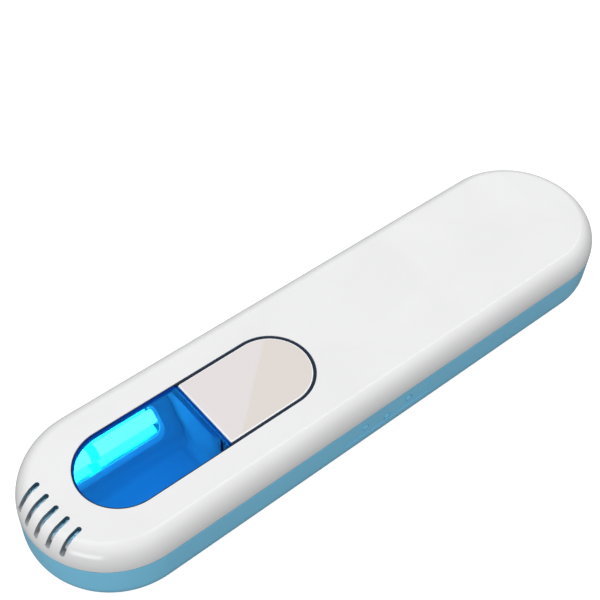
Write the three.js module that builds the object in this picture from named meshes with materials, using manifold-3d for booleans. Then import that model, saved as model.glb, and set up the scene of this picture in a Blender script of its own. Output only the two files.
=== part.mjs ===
// Ultraviolet sanitizer case: a long round-ended travel case with a lamp beside its head chamber.
// Millimetres. The origin is the bottom centre of the closed case. +X runs from the lamp end to the
// plain end, -Y is the front with the latch, +Y the rear with the hinge, and +Z is up.

import * as THREE from "three";
import { mergeVertices } from "three/addons/utils/BufferGeometryUtils.js";
import Module from "manifold-3d";

const wasm = await Module();
wasm.setup();

// Whole case
const caseLength = 220;
const caseWidth = 55;
const caseHeight = 26;
const rimHeight = 18;
const seamGap = 0.3;
const fitGap = 0.3;
const seatGap = 0.1;
const overrun = 2;
const weldDistance = 0.0001;
const arcSteps = 18;
const roundSteps = 5;
const rodSides = 16;

// Base shell
const baseWall = 1.8;
const baseDraft = 0.4;
const bottomRound = 8.8;
const rimStrip = 1.1;
const ribThickness = 1.2;
const ribTop = 9;
const ribShares = [0.067, 0.504, 0.941];
const dividerScrewStep = 7.5;
const dividerScrewGap = 7.7;
const cornerScrewStep = 2;
const cornerScrewInset = 7.5;
const endScrewInset = 6.2;
const endScrewTurn = THREE.MathUtils.degToRad(139);
const bossRadius = 3.2;
const trayBossRadius = 2.4;
const bossTop = 6.6;
const headRecessRadius = 2.3;
const headRecessDepth = 2.4;

// Case screws, board screws
const screwRadius = 1;
const screwHeadRadius = 2;
const screwHeadHeight = 1.5;
const screwLength = 9;
const crossSlotWidth = 0.6;
const crossSlotLength = 2.6;
const crossSlotDepth = 0.7;
const boardScrewLength = 4;
const boardScrewHeadHeight = 0.9;

// Hinge
const hingeInset = 2.1;
const barrelRadius = 2;
const hingeFromEnd = 10.5;
const lugWidth = 6;
const knuckleWidth = 3.2;
const pinRadius = 0.8;
const pinStickIn = 2.4;
const armThickness = 1.7;
const lidReliefHeight = 2.7;

// Liner tray
const trayWall = 1.4;
const flangeThickness = 0.9;
const lipFoot = 2.2;
const lipLean = 0.9;
const lipTop = 22.3;
const lipThickness = 1.7;
const deckTop = 21.4;
const pocketWall = 0.7;
const pocketShelf = 1;
const lipRampRun = 13;
const lipRampDrop = 2.3;

// Head chamber, with the sloped wall that carries the lamp
const chamberFloor = 5.5;
const chamberRound = 4;
const chamberDraft = 0.8;
const chamberLength = 59;
const foldHeight = 7.4;
const footRun = 3.8;

// Divider, neck passage and neck tab
const dividerLength = 14;
const passageWidth = 14.2;
const ledgeDepth = 3.5;
const ledgeTop = 18.5;
const endWallThickness = 1.4;
const ledgeGroove = 1.2;
const passageFloor = 9;
const dividerCorner = 4;
const tabOverhang = 0.5;
const tabSetBack = 1;
const tabReach = 3.2;
const tabBottom = 20.6;
const tabTop = 22;

// Handle bay
const bayFloor = 4.5;
const bayRound = 5;
const bayFrontSlope = 1;
const bayRearSlope = 4.5;
const bayWellGap = 0.65;
const bayCurveRun = 37.5;
const bayCurveNearRun = 16.5;
const bayCurveNearRise = 0.2;
const bayCurveFarRun = 6;
const bayCurveFarRise = 1.6;
const bayArcTop = THREE.MathUtils.degToRad(62);
const bayArcFloor = THREE.MathUtils.degToRad(34);
const bayCurveSteps = 14;

// Power: two cells in line, the spring and the contact plates. The cells fill the run between the
// circuit board and the right end, which makes each of them 44.5 long.
const cellRadius = 5.25;
const cellNubRadius = 1.9;
const cellNubHeight = 0.8;
const cellsFromRear = 10.7;
const cellAxisZ = 9.9;
const cellsBoardGap = 3.4;
const wellFromEnd = 2.5;
const cellGap = 0.3;
const wellWall = 1.2;
const plateThickness = 0.5;
const plateHalfWidth = 3.6;
const springRoom = 3.6;
const springCoilRadius = 2.2;
const springWireRadius = 0.25;
const springTurns = 3;
const springSteps = 8;
const springSides = 5;

// Battery cover
const coverSetBack = 5;
const coverRise = 0.6;
const coverEdge = 0.9;
const coverCorner = 2.5;
const coverArcEnd = THREE.MathUtils.degToRad(66);

// Lamp, in the frame of the sloped wall
const lampFromRear = 12.7;
const lampCentreZ = 13.8;
const lampSlope = Math.PI / 4;
const apertureFromEnd = 17.4;
const apertureFromDivider = 5.5;
const apertureHalf = 5.25;
const apertureCorner = 1.6;
const reflectorFromEnd = 16.2;
const reflectorFromDivider = 3;
const reflectorHalf = 6.2;
const reflectorDepth = 7;
const reflectorWall = 0.6;
const tubeRadius = 2.25;
const tubeDepth = 4.7;
const capRadius = 2.95;
const capDepth = 1.6;
const capFloor = 0.6;
const capFootHalf = 1.4;
const clipShare = 0.377;
const clipWidth = 3;

// Circuit board under the deck, beside the cells
const boardFromDivider = 2.7;
const boardLength = 30.9;
const boardWidth = 12.8;
const boardFromRear = 3.5;
const boardBottom = 6.4;
const boardThickness = 1.2;
const postRadius = 2;
const boardScrewInset = 2.4;
const boardScrewLeft = 2.7;
const boardScrewRight = 6;
const transformerSize = [8.4, 7, 6.4];
const transformerLeft = 4.1;
const transformerRear = 1.5;
const bobbinInset = 1.3;
const bobbinRadius = 2.5;
const capacitorRadius = 2.4;
const capacitorHeight = 6.8;
const capacitorGap = 0.8;
const capacitorRear = 1;
const chipSize = [5, 4, 1.5];
const chipLeft = 12.3;
const chipFront = 0.2;

// Interlock: the hole in the deck, the plunger, the switch under it and the peg on the lid
const interlockFromBoard = 1.4;
const interlockFromRear = 4.6;
const interlockHole = 1.2;
const plungerRadius = 0.85;
const plungerSink = 0.45;
const plungerTravel = 0.4;
const plungerCollar = 1.3;
const switchSize = [3.4, 3.4, 6];
const switchStemRadius = 0.8;
const switchStemHeight = 1;
const pegRadius = 0.65;
const pegEntry = 0.15;

// Latch
const latchHalf = 18;
const latchBottom = 9.8;
const latchInset = 0.4;
const latchPlate = 1.1;
const latchShelf = 1.4;
const latchReach = 6;
const latchTravel = 1.2;
const latchSlotHalf = 7.6;
const catchHalf = 8.5;
const catchBottom = 18.5;
const catchTop = 19.8;
const catchDepth = 1.3;
const catchLeg = 0.9;
const catchLegSink = 1;
const pipRadius = 1.1;
const pipRise = 0.34;
const pipPlaces = [
  [-9, 16.2],
  [0, 14.5],
  [9, 16.2],
];
const latchSpringHalf = 13;
const latchSpringBottom = 11.5;
const latchSpringWidth = 2;
const latchSpringThickness = 0.25;
const latchSpringBow = 1.1;

// Lid
const lidWall = 1.6;
const lidTopThickness = 2;
const shoulderRun = 5.7;
const lidSteps = 8;
const lidRimFromWindow = 5.4;
const lidRimWidth = 1;
const lidRimDrop = 0.5;
const hookHalf = 6;
const hookThickness = 1;
const hookBarb = 0.35;
const hookBarbHeight = 1.1;
const hookBottom = 16.7;

// Window, mirror and their seal
const windowFromEnd = 16.8;
const windowLength = 82.4;
const windowWidth = 28.2;
const mirrorSetBack = 1;
const sealWidth = 0.9;
const pocketDepth = 1.2;
const shelfWidth = 0.5;
const sealFlange = 0.2;
const sealSkirt = 0.6;
const sealSkirtDrop = 0.5;
const paneThickness = 0.8;
const mirrorThickness = 0.75;

// Vents
const ventCount = 5;
const ventPitch = 4.8;
const ventWidth = 1.2;
const ventFromEnd = 9.8;
const ventBottom = 22.6;

// Joins and cuts of closed solids

function solidOf(geometry) {
  const bare = geometry.clone();
  bare.deleteAttribute("normal");
  bare.deleteAttribute("uv");
  const welded = mergeVertices(bare, weldDistance);
  return new wasm.Manifold(
    new wasm.Mesh({
      numProp: 3,
      vertProperties: new Float32Array(welded.attributes.position.array),
      triVerts: new Uint32Array(welded.index.array),
    }),
  );
}

function geometryOf(solid) {
  const mesh = solid.getMesh();
  const geometry = new THREE.BufferGeometry();
  geometry.setAttribute("position", new THREE.BufferAttribute(mesh.vertProperties, mesh.numProp));
  geometry.setIndex(new THREE.BufferAttribute(mesh.triVerts, 1));
  const faceted = geometry.toNonIndexed();
  faceted.computeVertexNormals();
  return faceted;
}

const join = (...solids) => solids.reduce((whole, next) => whole.add(next));
const cut = (solid, ...tools) => tools.reduce((left, tool) => left.subtract(tool), solid);
const common = (solid, ...others) => others.reduce((left, other) => left.intersect(other), solid);

// Basic shapes, each placed by its limits

function block(x0, x1, y0, y1, z0, z1) {
  const geometry = new THREE.BoxGeometry(x1 - x0, y1 - y0, z1 - z0);
  geometry.translate((x0 + x1) / 2, (y0 + y1) / 2, (z0 + z1) / 2);
  return solidOf(geometry);
}

function rodX(radius, x0, x1, y, z) {
  const geometry = new THREE.CylinderGeometry(radius, radius, x1 - x0, rodSides);
  geometry.rotateZ(Math.PI / 2);
  geometry.translate((x0 + x1) / 2, y, z);
  return solidOf(geometry);
}

function rodZ(radius, x, y, z0, z1) {
  const geometry = new THREE.CylinderGeometry(radius, radius, z1 - z0, rodSides);
  geometry.rotateX(Math.PI / 2);
  geometry.translate(x, y, (z0 + z1) / 2);
  return solidOf(geometry);
}

// A profile in Y and Z, run along X
function bar(profile, x0, x1) {
  const geometry = new THREE.ExtrudeGeometry(new THREE.Shape(profile), {
    depth: x1 - x0,
    bevelEnabled: false,
  });
  geometry.applyMatrix4(
    new THREE.Matrix4().makeBasis(
      new THREE.Vector3(0, 1, 0),
      new THREE.Vector3(0, 0, 1),
      new THREE.Vector3(1, 0, 0),
    ),
  );
  geometry.translate(x0, 0, 0);
  return solidOf(geometry);
}

// A closed solid through level rings, lowest first, each counter-clockwise from above
function loft(rings) {
  const count = rings[0].length;
  const points = rings.flat();
  const index = [];
  for (let row = 0; row + 1 < rings.length; row++) {
    for (let i = 0; i < count; i++) {
      const a = row * count + i;
      const b = row * count + ((i + 1) % count);
      index.push(a, b, b + count, a, b + count, a + count);
    }
  }
  const flat = (ring) => ring.map((point) => new THREE.Vector2(point.x, point.y));
  for (const [a, b, c] of THREE.ShapeUtils.triangulateShape(flat(rings[0]), [])) {
    index.push(c, b, a);
  }
  const top = (rings.length - 1) * count;
  for (const [a, b, c] of THREE.ShapeUtils.triangulateShape(flat(rings.at(-1)), [])) {
    index.push(top + a, top + b, top + c);
  }
  const geometry = new THREE.BufferGeometry().setFromPoints(points);
  geometry.setIndex(index);
  return solidOf(geometry);
}

// The round-ended outline of the case, or of a window in it, at an inset and a height
function capsule(inset, z, length = caseLength, width = caseWidth, centreX = 0) {
  const radius = width / 2 - inset;
  const reach = (length - width) / 2;
  const ring = [];
  for (const side of [1, -1]) {
    for (let i = 0; i <= arcSteps; i++) {
      const turn = Math.PI * (i / arcSteps - 1 / 2);
      const x = centreX + side * (reach + radius * Math.cos(turn));
      ring.push(new THREE.Vector3(x, side * radius * Math.sin(turn), z));
    }
  }
  return ring;
}

const slab = (inset, z0, z1, ...outline) =>
  loft([capsule(inset, z0, ...outline), capsule(inset, z1, ...outline)]);

// A rectangle with rounded corners, as a prism
function roundedBlock(x0, x1, y0, y1, z0, z1, corner) {
  const ring = (z) => {
    const points = [];
    const centres = [
      [x1 - corner, y0 + corner],
      [x1 - corner, y1 - corner],
      [x0 + corner, y1 - corner],
      [x0 + corner, y0 + corner],
    ];
    centres.forEach(([x, y], quarter) => {
      for (let i = 0; i <= roundSteps; i++) {
        const turn = (Math.PI / 2) * (quarter - 1 + i / roundSteps);
        const point = new THREE.Vector3(x + corner * Math.cos(turn), y + corner * Math.sin(turn), z);
        points.push(point);
      }
    });
    return points;
  };
  return loft([ring(z0), ring(z1)]);
}

// Places that several pieces share
const caseTop = caseHeight;
const lampEnd = -caseLength / 2;
const rimRear = caseWidth / 2;
const rimFront = -rimRear;
const endReach = (caseLength - caseWidth) / 2;
const lidBottom = rimHeight + seamGap;
const hingeY = rimRear - hingeInset;
const hingeZ = rimHeight;
const lipInner = lipFoot + lipLean + lipThickness;
const bayFront = rimRear - lipInner;
const chamberRight = lampEnd + chamberLength;
const dividerRight = chamberRight + dividerLength;
const ledgeFront = passageWidth - bayFront;
const dividerFront = ledgeFront + ledgeDepth;
const boardLeft = chamberRight + boardFromDivider;
const boardRight = boardLeft + boardLength;
const boardRear = rimRear - boardFromRear;
const boardFront = boardRear - boardWidth;
const boardTop = boardBottom + boardThickness;
const wellRadius = cellRadius + fitGap;
const cellAxisY = rimRear - cellsFromRear;
const cellsLeft = boardRight + cellsBoardGap;
const wellLeft = cellsLeft - cellGap - plateThickness - fitGap;
const wellEnd = endReach - wellFromEnd;
const springRight = wellEnd - fitGap - plateThickness;
const wellRight = springRight - springRoom;
const cellsRight = wellRight - cellGap;
const cellLength = (cellsRight - cellGap - cellsLeft) / 2;
const bayRear = cellAxisY - wellRadius - wellWall - trayWall - bayWellGap;
const lugHalf = lugWidth / 2;
const knuckleHalf = lugHalf + fitGap + knuckleWidth;
const pocketY = hingeY - barrelRadius - fitGap;
const pocketHalf = knuckleHalf + fitGap;
const hingeX = endReach - hingeFromEnd;
const hingePlaces = [-hingeX, hingeX];
const interlockX = boardRight - interlockFromBoard;
const interlockY = rimRear - interlockFromRear;
const lampCentreY = rimRear - lampFromRear;
const endScrewReach = rimRear - endScrewInset;
const screwPlaces = [
  [chamberRight + dividerScrewStep, boardFront - dividerScrewGap],
  [endReach + cornerScrewStep, rimRear - cornerScrewInset],
  [
    endScrewReach * Math.cos(endScrewTurn) - endReach,
    endScrewReach * Math.sin(endScrewTurn),
  ],
];
const boardScrewPlaces = [
  [boardLeft + boardScrewLeft, boardFront + boardScrewInset],
  [boardRight - boardScrewRight, boardFront + boardScrewInset],
];

// Base shell

// Rings of the tub's skin at a depth under its outer face: flat bottom, round edge, drafted side
function tubRings(depth, topHeight) {
  const radius = bottomRound - depth;
  const rings = [];
  for (let i = 0; i <= roundSteps; i++) {
    const turn = (Math.PI / 2) * (i / roundSteps);
    const z = depth + radius * (1 - Math.cos(turn));
    const draft = baseDraft * (1 - z / rimHeight);
    rings.push(capsule(depth + draft + radius * (1 - Math.sin(turn)), z));
  }
  rings.push(capsule(depth, topHeight));
  return rings;
}

const tubInside = () => loft(tubRings(baseWall, rimHeight + overrun));

// The rear wall carries on above the rim as a bead round the hinge line
function hingeBead() {
  const bead = rodX(barrelRadius, -endReach - rimRear, endReach + rimRear, hingeY, hingeZ);
  const wallZone = block(
    -caseLength / 2,
    caseLength / 2,
    rimRear - baseWall,
    rimRear,
    rimHeight - flangeThickness,
    rimHeight + barrelRadius,
  );
  const outline = slab(0, rimHeight - flangeThickness, rimHeight + barrelRadius);
  return common(bead, wallZone, outline);
}

function hingeKnuckles(x) {
  const knuckle = (side) => {
    const inner = x + side * (lugHalf + fitGap);
    const outer = x + side * knuckleHalf;
    return rodX(barrelRadius, Math.min(inner, outer), Math.max(inner, outer), hingeY, hingeZ);
  };
  return join(knuckle(-1), knuckle(1));
}

function screwBoss([x, y]) {
  return common(rodZ(bossRadius, x, y, 0, bossTop), loft(tubRings(baseWall / 2, rimHeight)));
}

function screwHole([x, y]) {
  return join(
    rodZ(screwRadius + fitGap, x, y, -overrun, bossTop + overrun),
    rodZ(headRecessRadius, x, y, -overrun, headRecessDepth),
  );
}

function boardPost([x, y]) {
  return cut(
    rodZ(postRadius, x, y, baseWall / 2, boardBottom - seatGap),
    rodZ(screwRadius + fitGap, x, y, baseWall, boardBottom + overrun),
  );
}

function baseRib(x) {
  const rib = block(x, x + ribThickness, -rimRear, rimRear, baseWall / 2, ribTop);
  const insideWall = loft(tubRings(baseWall / 2, rimHeight));
  return cut(common(rib, insideWall), wellHull(fitGap), bayHull(fitGap));
}

function baseShell() {
  const rearZone = block(
    -caseLength / 2,
    caseLength / 2,
    rimRear - baseWall,
    rimRear,
    rimHeight - 2 * flangeThickness,
    rimHeight + overrun,
  );
  const rebate = cut(slab(rimStrip, rimHeight - flangeThickness, rimHeight + overrun), rearZone);
  const latchOpening = block(
    -latchHalf - fitGap,
    latchHalf + fitGap,
    rimFront - overrun,
    rimFront + baseWall + overrun,
    latchBottom - fitGap,
    rimHeight + overrun,
  );
  let shell = cut(loft(tubRings(0, rimHeight)), tubInside(), rebate, latchOpening);
  shell = join(shell, hingeBead());
  for (const share of ribShares) {
    shell = join(shell, baseRib(THREE.MathUtils.lerp(cellsLeft, cellsRight, share)));
  }
  for (const place of screwPlaces) shell = cut(join(shell, screwBoss(place)), screwHole(place));
  for (const place of boardScrewPlaces) shell = join(shell, boardPost(place));
  for (const x of hingePlaces) {
    const slotHalf = lugHalf + fitGap;
    const lugSlot = rodX(barrelRadius + fitGap, x - slotHalf, x + slotHalf, hingeY, hingeZ);
    const lugWay = block(
      x - slotHalf,
      x + slotHalf,
      hingeY,
      rimRear + overrun,
      hingeZ,
      hingeZ + barrelRadius + overrun,
    );
    const bore = rodX(
      pinRadius + fitGap,
      x - lugHalf - fitGap - pinStickIn,
      x + lugHalf + fitGap + pinStickIn,
      hingeY,
      hingeZ,
    );
    shell = cut(join(shell, hingeKnuckles(x)), lugSlot, lugWay, bore);
  }
  return shell;
}

// Liner tray: handle bay

// The bay's outline: straight front, round right end, and a rear edge that sweeps round to it.
// sink runs from 0 at the deck to 1 on the floor.
function bayRing(frontInset, rearInset, left, sink, z) {
  const radius = bayFront - frontInset;
  const turnEnd = THREE.MathUtils.lerp(bayArcTop, bayArcFloor, sink);
  const points = [new THREE.Vector3(left, -radius, z)];
  for (let i = 0; i <= arcSteps; i++) {
    const turn = THREE.MathUtils.lerp(-Math.PI / 2, turnEnd, i / arcSteps);
    points.push(
      new THREE.Vector3(endReach + radius * Math.cos(turn), radius * Math.sin(turn), z),
    );
  }
  const sweep = new THREE.CubicBezierCurve3(
    points.at(-1),
    new THREE.Vector3(endReach + bayCurveFarRun, bayRear + bayCurveFarRise - rearInset, z),
    new THREE.Vector3(endReach - bayCurveNearRun, bayRear + bayCurveNearRise - rearInset, z),
    new THREE.Vector3(endReach - bayCurveRun, bayRear - rearInset, z),
  );
  points.push(...sweep.getPoints(bayCurveSteps).slice(1));
  points.push(new THREE.Vector3(left, bayRear - rearInset, z));
  return points;
}

// The bay at a skin's depth outside its face; depth 0 is the open bay itself
function bayForm(depth, left, top) {
  const rings = [];
  const radius = bayRound + depth;
  const add = (z, extra) => {
    const sink = THREE.MathUtils.clamp((deckTop - z) / (deckTop - bayFloor), 0, 1);
    rings.push(
      bayRing(
        bayFrontSlope * sink + extra - depth,
        bayRearSlope * sink + extra - depth,
        left - depth,
        sink,
        z,
      ),
    );
  };
  for (let i = 0; i <= roundSteps; i++) {
    const turn = (Math.PI / 2) * (i / roundSteps);
    add(bayFloor - depth + radius * (1 - Math.cos(turn)), radius * (1 - Math.sin(turn)));
  }
  add(deckTop - trayWall / 2, 0);
  add(top, 0);
  return loft(rings);
}

const bayHull = (clearance) =>
  bayForm(trayWall + clearance, dividerRight, deckTop - trayWall / 2 + clearance);

// Liner tray: head chamber

function chamberForm(depth, top) {
  const radius = chamberRound + depth;
  const rings = [];
  const add = (z, extra) => {
    const sink = THREE.MathUtils.clamp((deckTop - z) / (deckTop - chamberFloor), 0, 1);
    const arc = bayFront - chamberDraft * sink - extra + depth;
    const right = chamberRight - extra + depth;
    const points = [new THREE.Vector3(right, -arc, z), new THREE.Vector3(right, arc, z)];
    for (let i = 0; i <= arcSteps; i++) {
      const turn = Math.PI * (1 / 2 + i / arcSteps);
      points.push(new THREE.Vector3(-endReach + arc * Math.cos(turn), arc * Math.sin(turn), z));
    }
    rings.push(points);
  };
  for (let i = 0; i <= roundSteps; i++) {
    const turn = (Math.PI / 2) * (i / roundSteps);
    add(chamberFloor - depth + radius * (1 - Math.cos(turn)), radius * (1 - Math.sin(turn)));
  }
  add(top, 0);
  return cut(loft(rings), lampSide(depth));
}

// Everything behind the sloped wall's face, moved back by a skin's depth
function lampSide(depth) {
  const step = depth * Math.SQRT1_2;
  const foldY = foldHeight + lampCentreY - lampCentreZ;
  const run = caseHeight;
  const profile = [
    new THREE.Vector2(foldY - 2 * footRun + step, foldHeight - footRun - step),
    new THREE.Vector2(foldY + run + step, foldHeight - footRun - step),
    new THREE.Vector2(foldY + run + step, foldHeight + run - step),
    new THREE.Vector2(foldY + step, foldHeight - step),
  ];
  return bar(profile, -caseLength / 2, chamberRight + depth + overrun);
}

// Lines up a shape made in the sloped wall's own frame: X along the lamp, Y up the slope, and Z
// out of the wall into the chamber, with zero on the wall's face
const lampFrame = new THREE.Matrix4()
  .makeRotationX(lampSlope)
  .setPosition(0, lampCentreY, lampCentreZ);

function inLampFrame(solid) {
  return solidOf(geometryOf(solid).applyMatrix4(lampFrame));
}

const apertureLeft = lampEnd + apertureFromEnd;
const apertureRight = chamberRight - apertureFromDivider;

const lampAperture = () =>
  inLampFrame(
    roundedBlock(
      apertureLeft,
      apertureRight,
      -apertureHalf,
      apertureHalf,
      -trayWall - overrun,
      overrun,
      apertureCorner,
    ),
  );

// Liner tray: battery well

function wellForm(depth, bottomToTop) {
  const radius = wellRadius + depth;
  const left = wellLeft - depth;
  const right = wellRight + depth;
  const round = rodX(radius, left, right, cellAxisY, cellAxisZ);
  const upright = block(
    left,
    right,
    cellAxisY - radius,
    cellAxisY + radius,
    cellAxisZ,
    bottomToTop,
  );
  const springHalf = plateHalfWidth + fitGap + depth;
  const springBay = block(
    right - overrun,
    wellEnd + depth,
    cellAxisY - springHalf,
    cellAxisY + springHalf,
    cellAxisZ - springHalf,
    bottomToTop,
  );
  return join(round, upright, springBay);
}

const wellHull = (clearance) => wellForm(wellWall + clearance, deckTop - trayWall / 2 + clearance);

// Liner tray: pockets for the hinge lugs

function hingePocket(x) {
  const wall = pocketHalf + wellWall;
  const bottom = hingeZ - barrelRadius - fitGap - pocketShelf;
  return block(x - wall, x + wall, pocketY - pocketWall, hingeY - fitGap, bottom, deckTop);
}

function hingePocketRoom(x) {
  const bottom = hingeZ - barrelRadius - fitGap;
  const rear = rimRear + overrun;
  return block(x - pocketHalf, x + pocketHalf, pocketY, rear, bottom, lipTop + overrun);
}

function trayBoss([x, y], top) {
  return rodZ(trayBossRadius, x, y, bossTop + fitGap, top);
}

// The front lip falls away towards the latch; side is -1 left of the latch, 1 right
function lipRamp(side) {
  const near = side * latchHalf;
  const far = side * (latchHalf + lipRampRun);
  const profile = [
    new THREE.Vector2(far, lipTop),
    new THREE.Vector2(far, lipTop + overrun),
    new THREE.Vector2(near, lipTop + overrun),
    new THREE.Vector2(near, lipTop - lipRampDrop),
  ];
  const geometry = new THREE.ExtrudeGeometry(new THREE.Shape(profile), {
    depth: lipInner,
    bevelEnabled: false,
  });
  geometry.rotateX(Math.PI / 2);
  geometry.translate(0, -bayFront, 0);
  return solidOf(geometry);
}

function linerTray() {
  const lipBottom = rimHeight - flangeThickness;
  const lipOuter = loft([
    capsule(lipFoot, lipBottom),
    capsule(lipFoot, rimHeight),
    capsule(lipFoot + lipLean, lipTop),
  ]);
  const underDeck = slab(lipInner, lipBottom - overrun, deckTop - trayWall);
  const overDeck = slab(lipInner, deckTop, lipTop + overrun);
  const flange = cut(
    slab(rimStrip + fitGap, lipBottom + seatGap, rimHeight),
    slab(lipInner, lipBottom - overrun, rimHeight + overrun),
  );
  let tray = join(cut(lipOuter, underDeck, overDeck), flange);

  const wellTop = deckTop - trayWall / 2;
  const bossTops = [wellTop, wellTop, lampCentreZ];
  tray = join(tray, bayHull(0), chamberForm(trayWall, wellTop), wellHull(0));
  screwPlaces.forEach((place, i) => {
    tray = join(tray, trayBoss(place, bossTops[i]));
  });
  for (const x of hingePlaces) tray = join(tray, hingePocket(x));
  // The divider's skin: its deck, its front wall over the passage and its ledge
  const passageFront = -bayFront;
  tray = join(
    tray,
    block(
      chamberRight,
      dividerRight,
      passageFront - trayWall,
      ledgeFront + endWallThickness,
      passageFloor - trayWall,
      ledgeTop,
    ),
    block(
      chamberRight,
      chamberRight + endWallThickness,
      ledgeFront,
      dividerFront,
      passageFloor,
      deckTop,
    ),
    block(
      dividerRight - trayWall,
      dividerRight,
      ledgeFront,
      bayRear,
      bayFloor,
      deckTop - trayWall / 2,
    ),
    block(
      chamberRight,
      dividerRight,
      ledgeFront,
      dividerFront + trayWall,
      ledgeTop - trayWall,
      deckTop,
    ),
  );

  // Open spaces
  const over = lipTop + overrun;
  tray = cut(tray, bayForm(0, dividerRight, over), chamberForm(0, over), wellForm(0, over));
  const passage = block(
    chamberRight - overrun,
    dividerRight + overrun,
    passageFront,
    ledgeFront,
    passageFloor,
    over,
  );
  const cornerEdge = dividerCorner;
  const cornerRound = cut(
    block(
      chamberRight - overrun,
      chamberRight + cornerEdge,
      ledgeFront - overrun,
      ledgeFront + cornerEdge,
      passageFloor,
      over,
    ),
    rodZ(cornerEdge, chamberRight + cornerEdge, ledgeFront + cornerEdge, passageFloor, over),
  );
  const ledgeStep = block(
    chamberRight + endWallThickness + ledgeGroove,
    dividerRight + overrun,
    ledgeFront - overrun,
    dividerFront,
    ledgeTop,
    over,
  );
  const groove = block(
    chamberRight + endWallThickness,
    chamberRight + endWallThickness + ledgeGroove,
    ledgeFront - overrun,
    dividerFront,
    passageFloor + trayWall,
    over,
  );
  tray = cut(tray, passage, cornerRound, ledgeStep, groove);
  const tab = block(
    chamberRight - tabOverhang,
    dividerRight - tabSetBack,
    passageFront - trayWall / 2,
    passageFront + tabReach,
    tabBottom,
    tabTop,
  );
  tray = cut(join(tray, tab), lampAperture());

  // Clearances
  const latchSide = latchHalf + fitGap;
  const latchWay = block(
    -latchSide,
    latchSide,
    rimFront,
    rimFront + latchReach + latchTravel + fitGap,
    rimHeight - latchShelf - fitGap - seatGap,
    over,
  );
  const beadWay = block(
    -caseLength / 2,
    caseLength / 2,
    rimRear - baseWall - fitGap,
    rimRear,
    lipBottom - overrun,
    rimHeight + overrun,
  );
  tray = cut(tray, latchWay, beadWay, lipRamp(-1), lipRamp(1));
  tray = cut(tray, rodZ(interlockHole, interlockX, interlockY, lipBottom - overrun, over));
  for (const x of hingePlaces) tray = cut(tray, hingePocketRoom(x));
  for (const [x, y] of screwPlaces) {
    tray = cut(tray, rodZ(screwRadius + fitGap, x, y, bossTop - overrun, screwTop + fitGap));
  }
  return tray;
}

// Screws

const screwSeat = headRecessDepth - seatGap - screwHeadHeight;
const screwTop = headRecessDepth - seatGap + screwLength;

// A pan-head screw, head down at height 0, with a cross slot in the head
function screw(headRadius, headHeight, shankRadius, shankLength) {
  const profile = [
    [0, 0],
    [headRadius - headHeight / 3, 0],
    [headRadius, headHeight / 3],
    [headRadius, headHeight],
    [shankRadius, headHeight],
    [shankRadius, headHeight + shankLength - shankRadius],
    [0, headHeight + shankLength],
  ].map(([x, y]) => new THREE.Vector2(x, y));
  const turned = new THREE.LatheGeometry(profile, rodSides);
  turned.rotateX(Math.PI / 2);
  const half = crossSlotLength / 2;
  const side = crossSlotWidth / 2;
  return cut(
    solidOf(turned),
    block(-half, half, -side, side, -overrun, crossSlotDepth),
    block(-side, side, -half, half, -overrun, crossSlotDepth),
  );
}

// Battery cover: a low panel that follows the bay's edge, with a plug in the well's mouth

function coverRing(z) {
  const coverLeft = dividerRight + coverSetBack;
  const edge = bayRing(0, -coverEdge, coverLeft + coverCorner, 0, z);
  const points = [];
  const frontY = bayRear + coverEdge;
  const rearRadius = bayFront - coverEdge / 2;
  const corner = (y, start) => {
    for (let i = 0; i <= roundSteps; i++) {
      const turn = start + (Math.PI / 2) * (i / roundSteps);
      const x = coverLeft + coverCorner + coverCorner * Math.cos(turn);
      points.push(new THREE.Vector3(x, y + coverCorner * Math.sin(turn), z));
    }
  };
  corner(frontY + coverCorner, Math.PI);
  const sweep = edge.slice(arcSteps + 3, -1).reverse();
  points.push(...sweep);
  for (let i = 0; i <= roundSteps; i++) {
    const turn = THREE.MathUtils.lerp(coverArcEnd, Math.PI / 2, i / roundSteps);
    const x = endReach + rearRadius * Math.cos(turn);
    points.push(new THREE.Vector3(x, rearRadius * Math.sin(turn), z));
  }
  corner(rearRadius - coverCorner, Math.PI / 2);
  return points;
}

function batteryCover() {
  const bottom = deckTop + seatGap;
  const panel = loft([coverRing(bottom), coverRing(bottom + coverRise)]);
  const half = wellRadius - fitGap;
  const plug = block(
    wellLeft + fitGap,
    wellRight - fitGap,
    cellAxisY - half,
    cellAxisY + half,
    deckTop - trayWall,
    bottom + coverRise / 2,
  );
  const plugHollow = block(
    wellLeft + fitGap + wellWall,
    wellRight - fitGap - wellWall,
    cellAxisY - half + wellWall,
    cellAxisY + half - wellWall,
    deckTop - trayWall - overrun,
    bottom,
  );
  const holeWay = rodZ(
    interlockHole + fitGap,
    interlockX,
    interlockY,
    deckTop - overrun,
    deckTop + overrun,
  );
  return cut(join(panel, plug), plugHollow, holeWay);
}

// Cells and contacts

function cell(index) {
  const nub = cellNubRadius;
  const body = cellLength - cellNubHeight;
  const profile = [
    [0, 0],
    [cellRadius - cellNubHeight, 0],
    [cellRadius, cellNubHeight],
    [cellRadius, body - cellNubHeight / 2],
    [cellRadius - cellNubHeight / 2, body],
    [nub, body],
    [nub, cellLength],
    [0, cellLength],
  ].map(([x, y]) => new THREE.Vector2(x, y));
  const geometry = new THREE.LatheGeometry(profile, rodSides);
  geometry.rotateZ(Math.PI / 2);
  const right = cellsLeft + cellLength + index * (cellLength + cellGap);
  geometry.translate(right, cellAxisY, cellAxisZ);
  return solidOf(geometry);
}

function contactPlate(x0) {
  const half = plateHalfWidth;
  return roundedBlockX(x0, x0 + plateThickness, half);
}

// An upright plate across the well, with rounded corners
function roundedBlockX(x0, x1, half) {
  const flat = roundedBlock(-half, half, -half, half, 0, x1 - x0, half / 3);
  const geometry = geometryOf(flat);
  geometry.rotateY(Math.PI / 2);
  geometry.translate(x0, cellAxisY, cellAxisZ);
  return solidOf(geometry);
}

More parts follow.
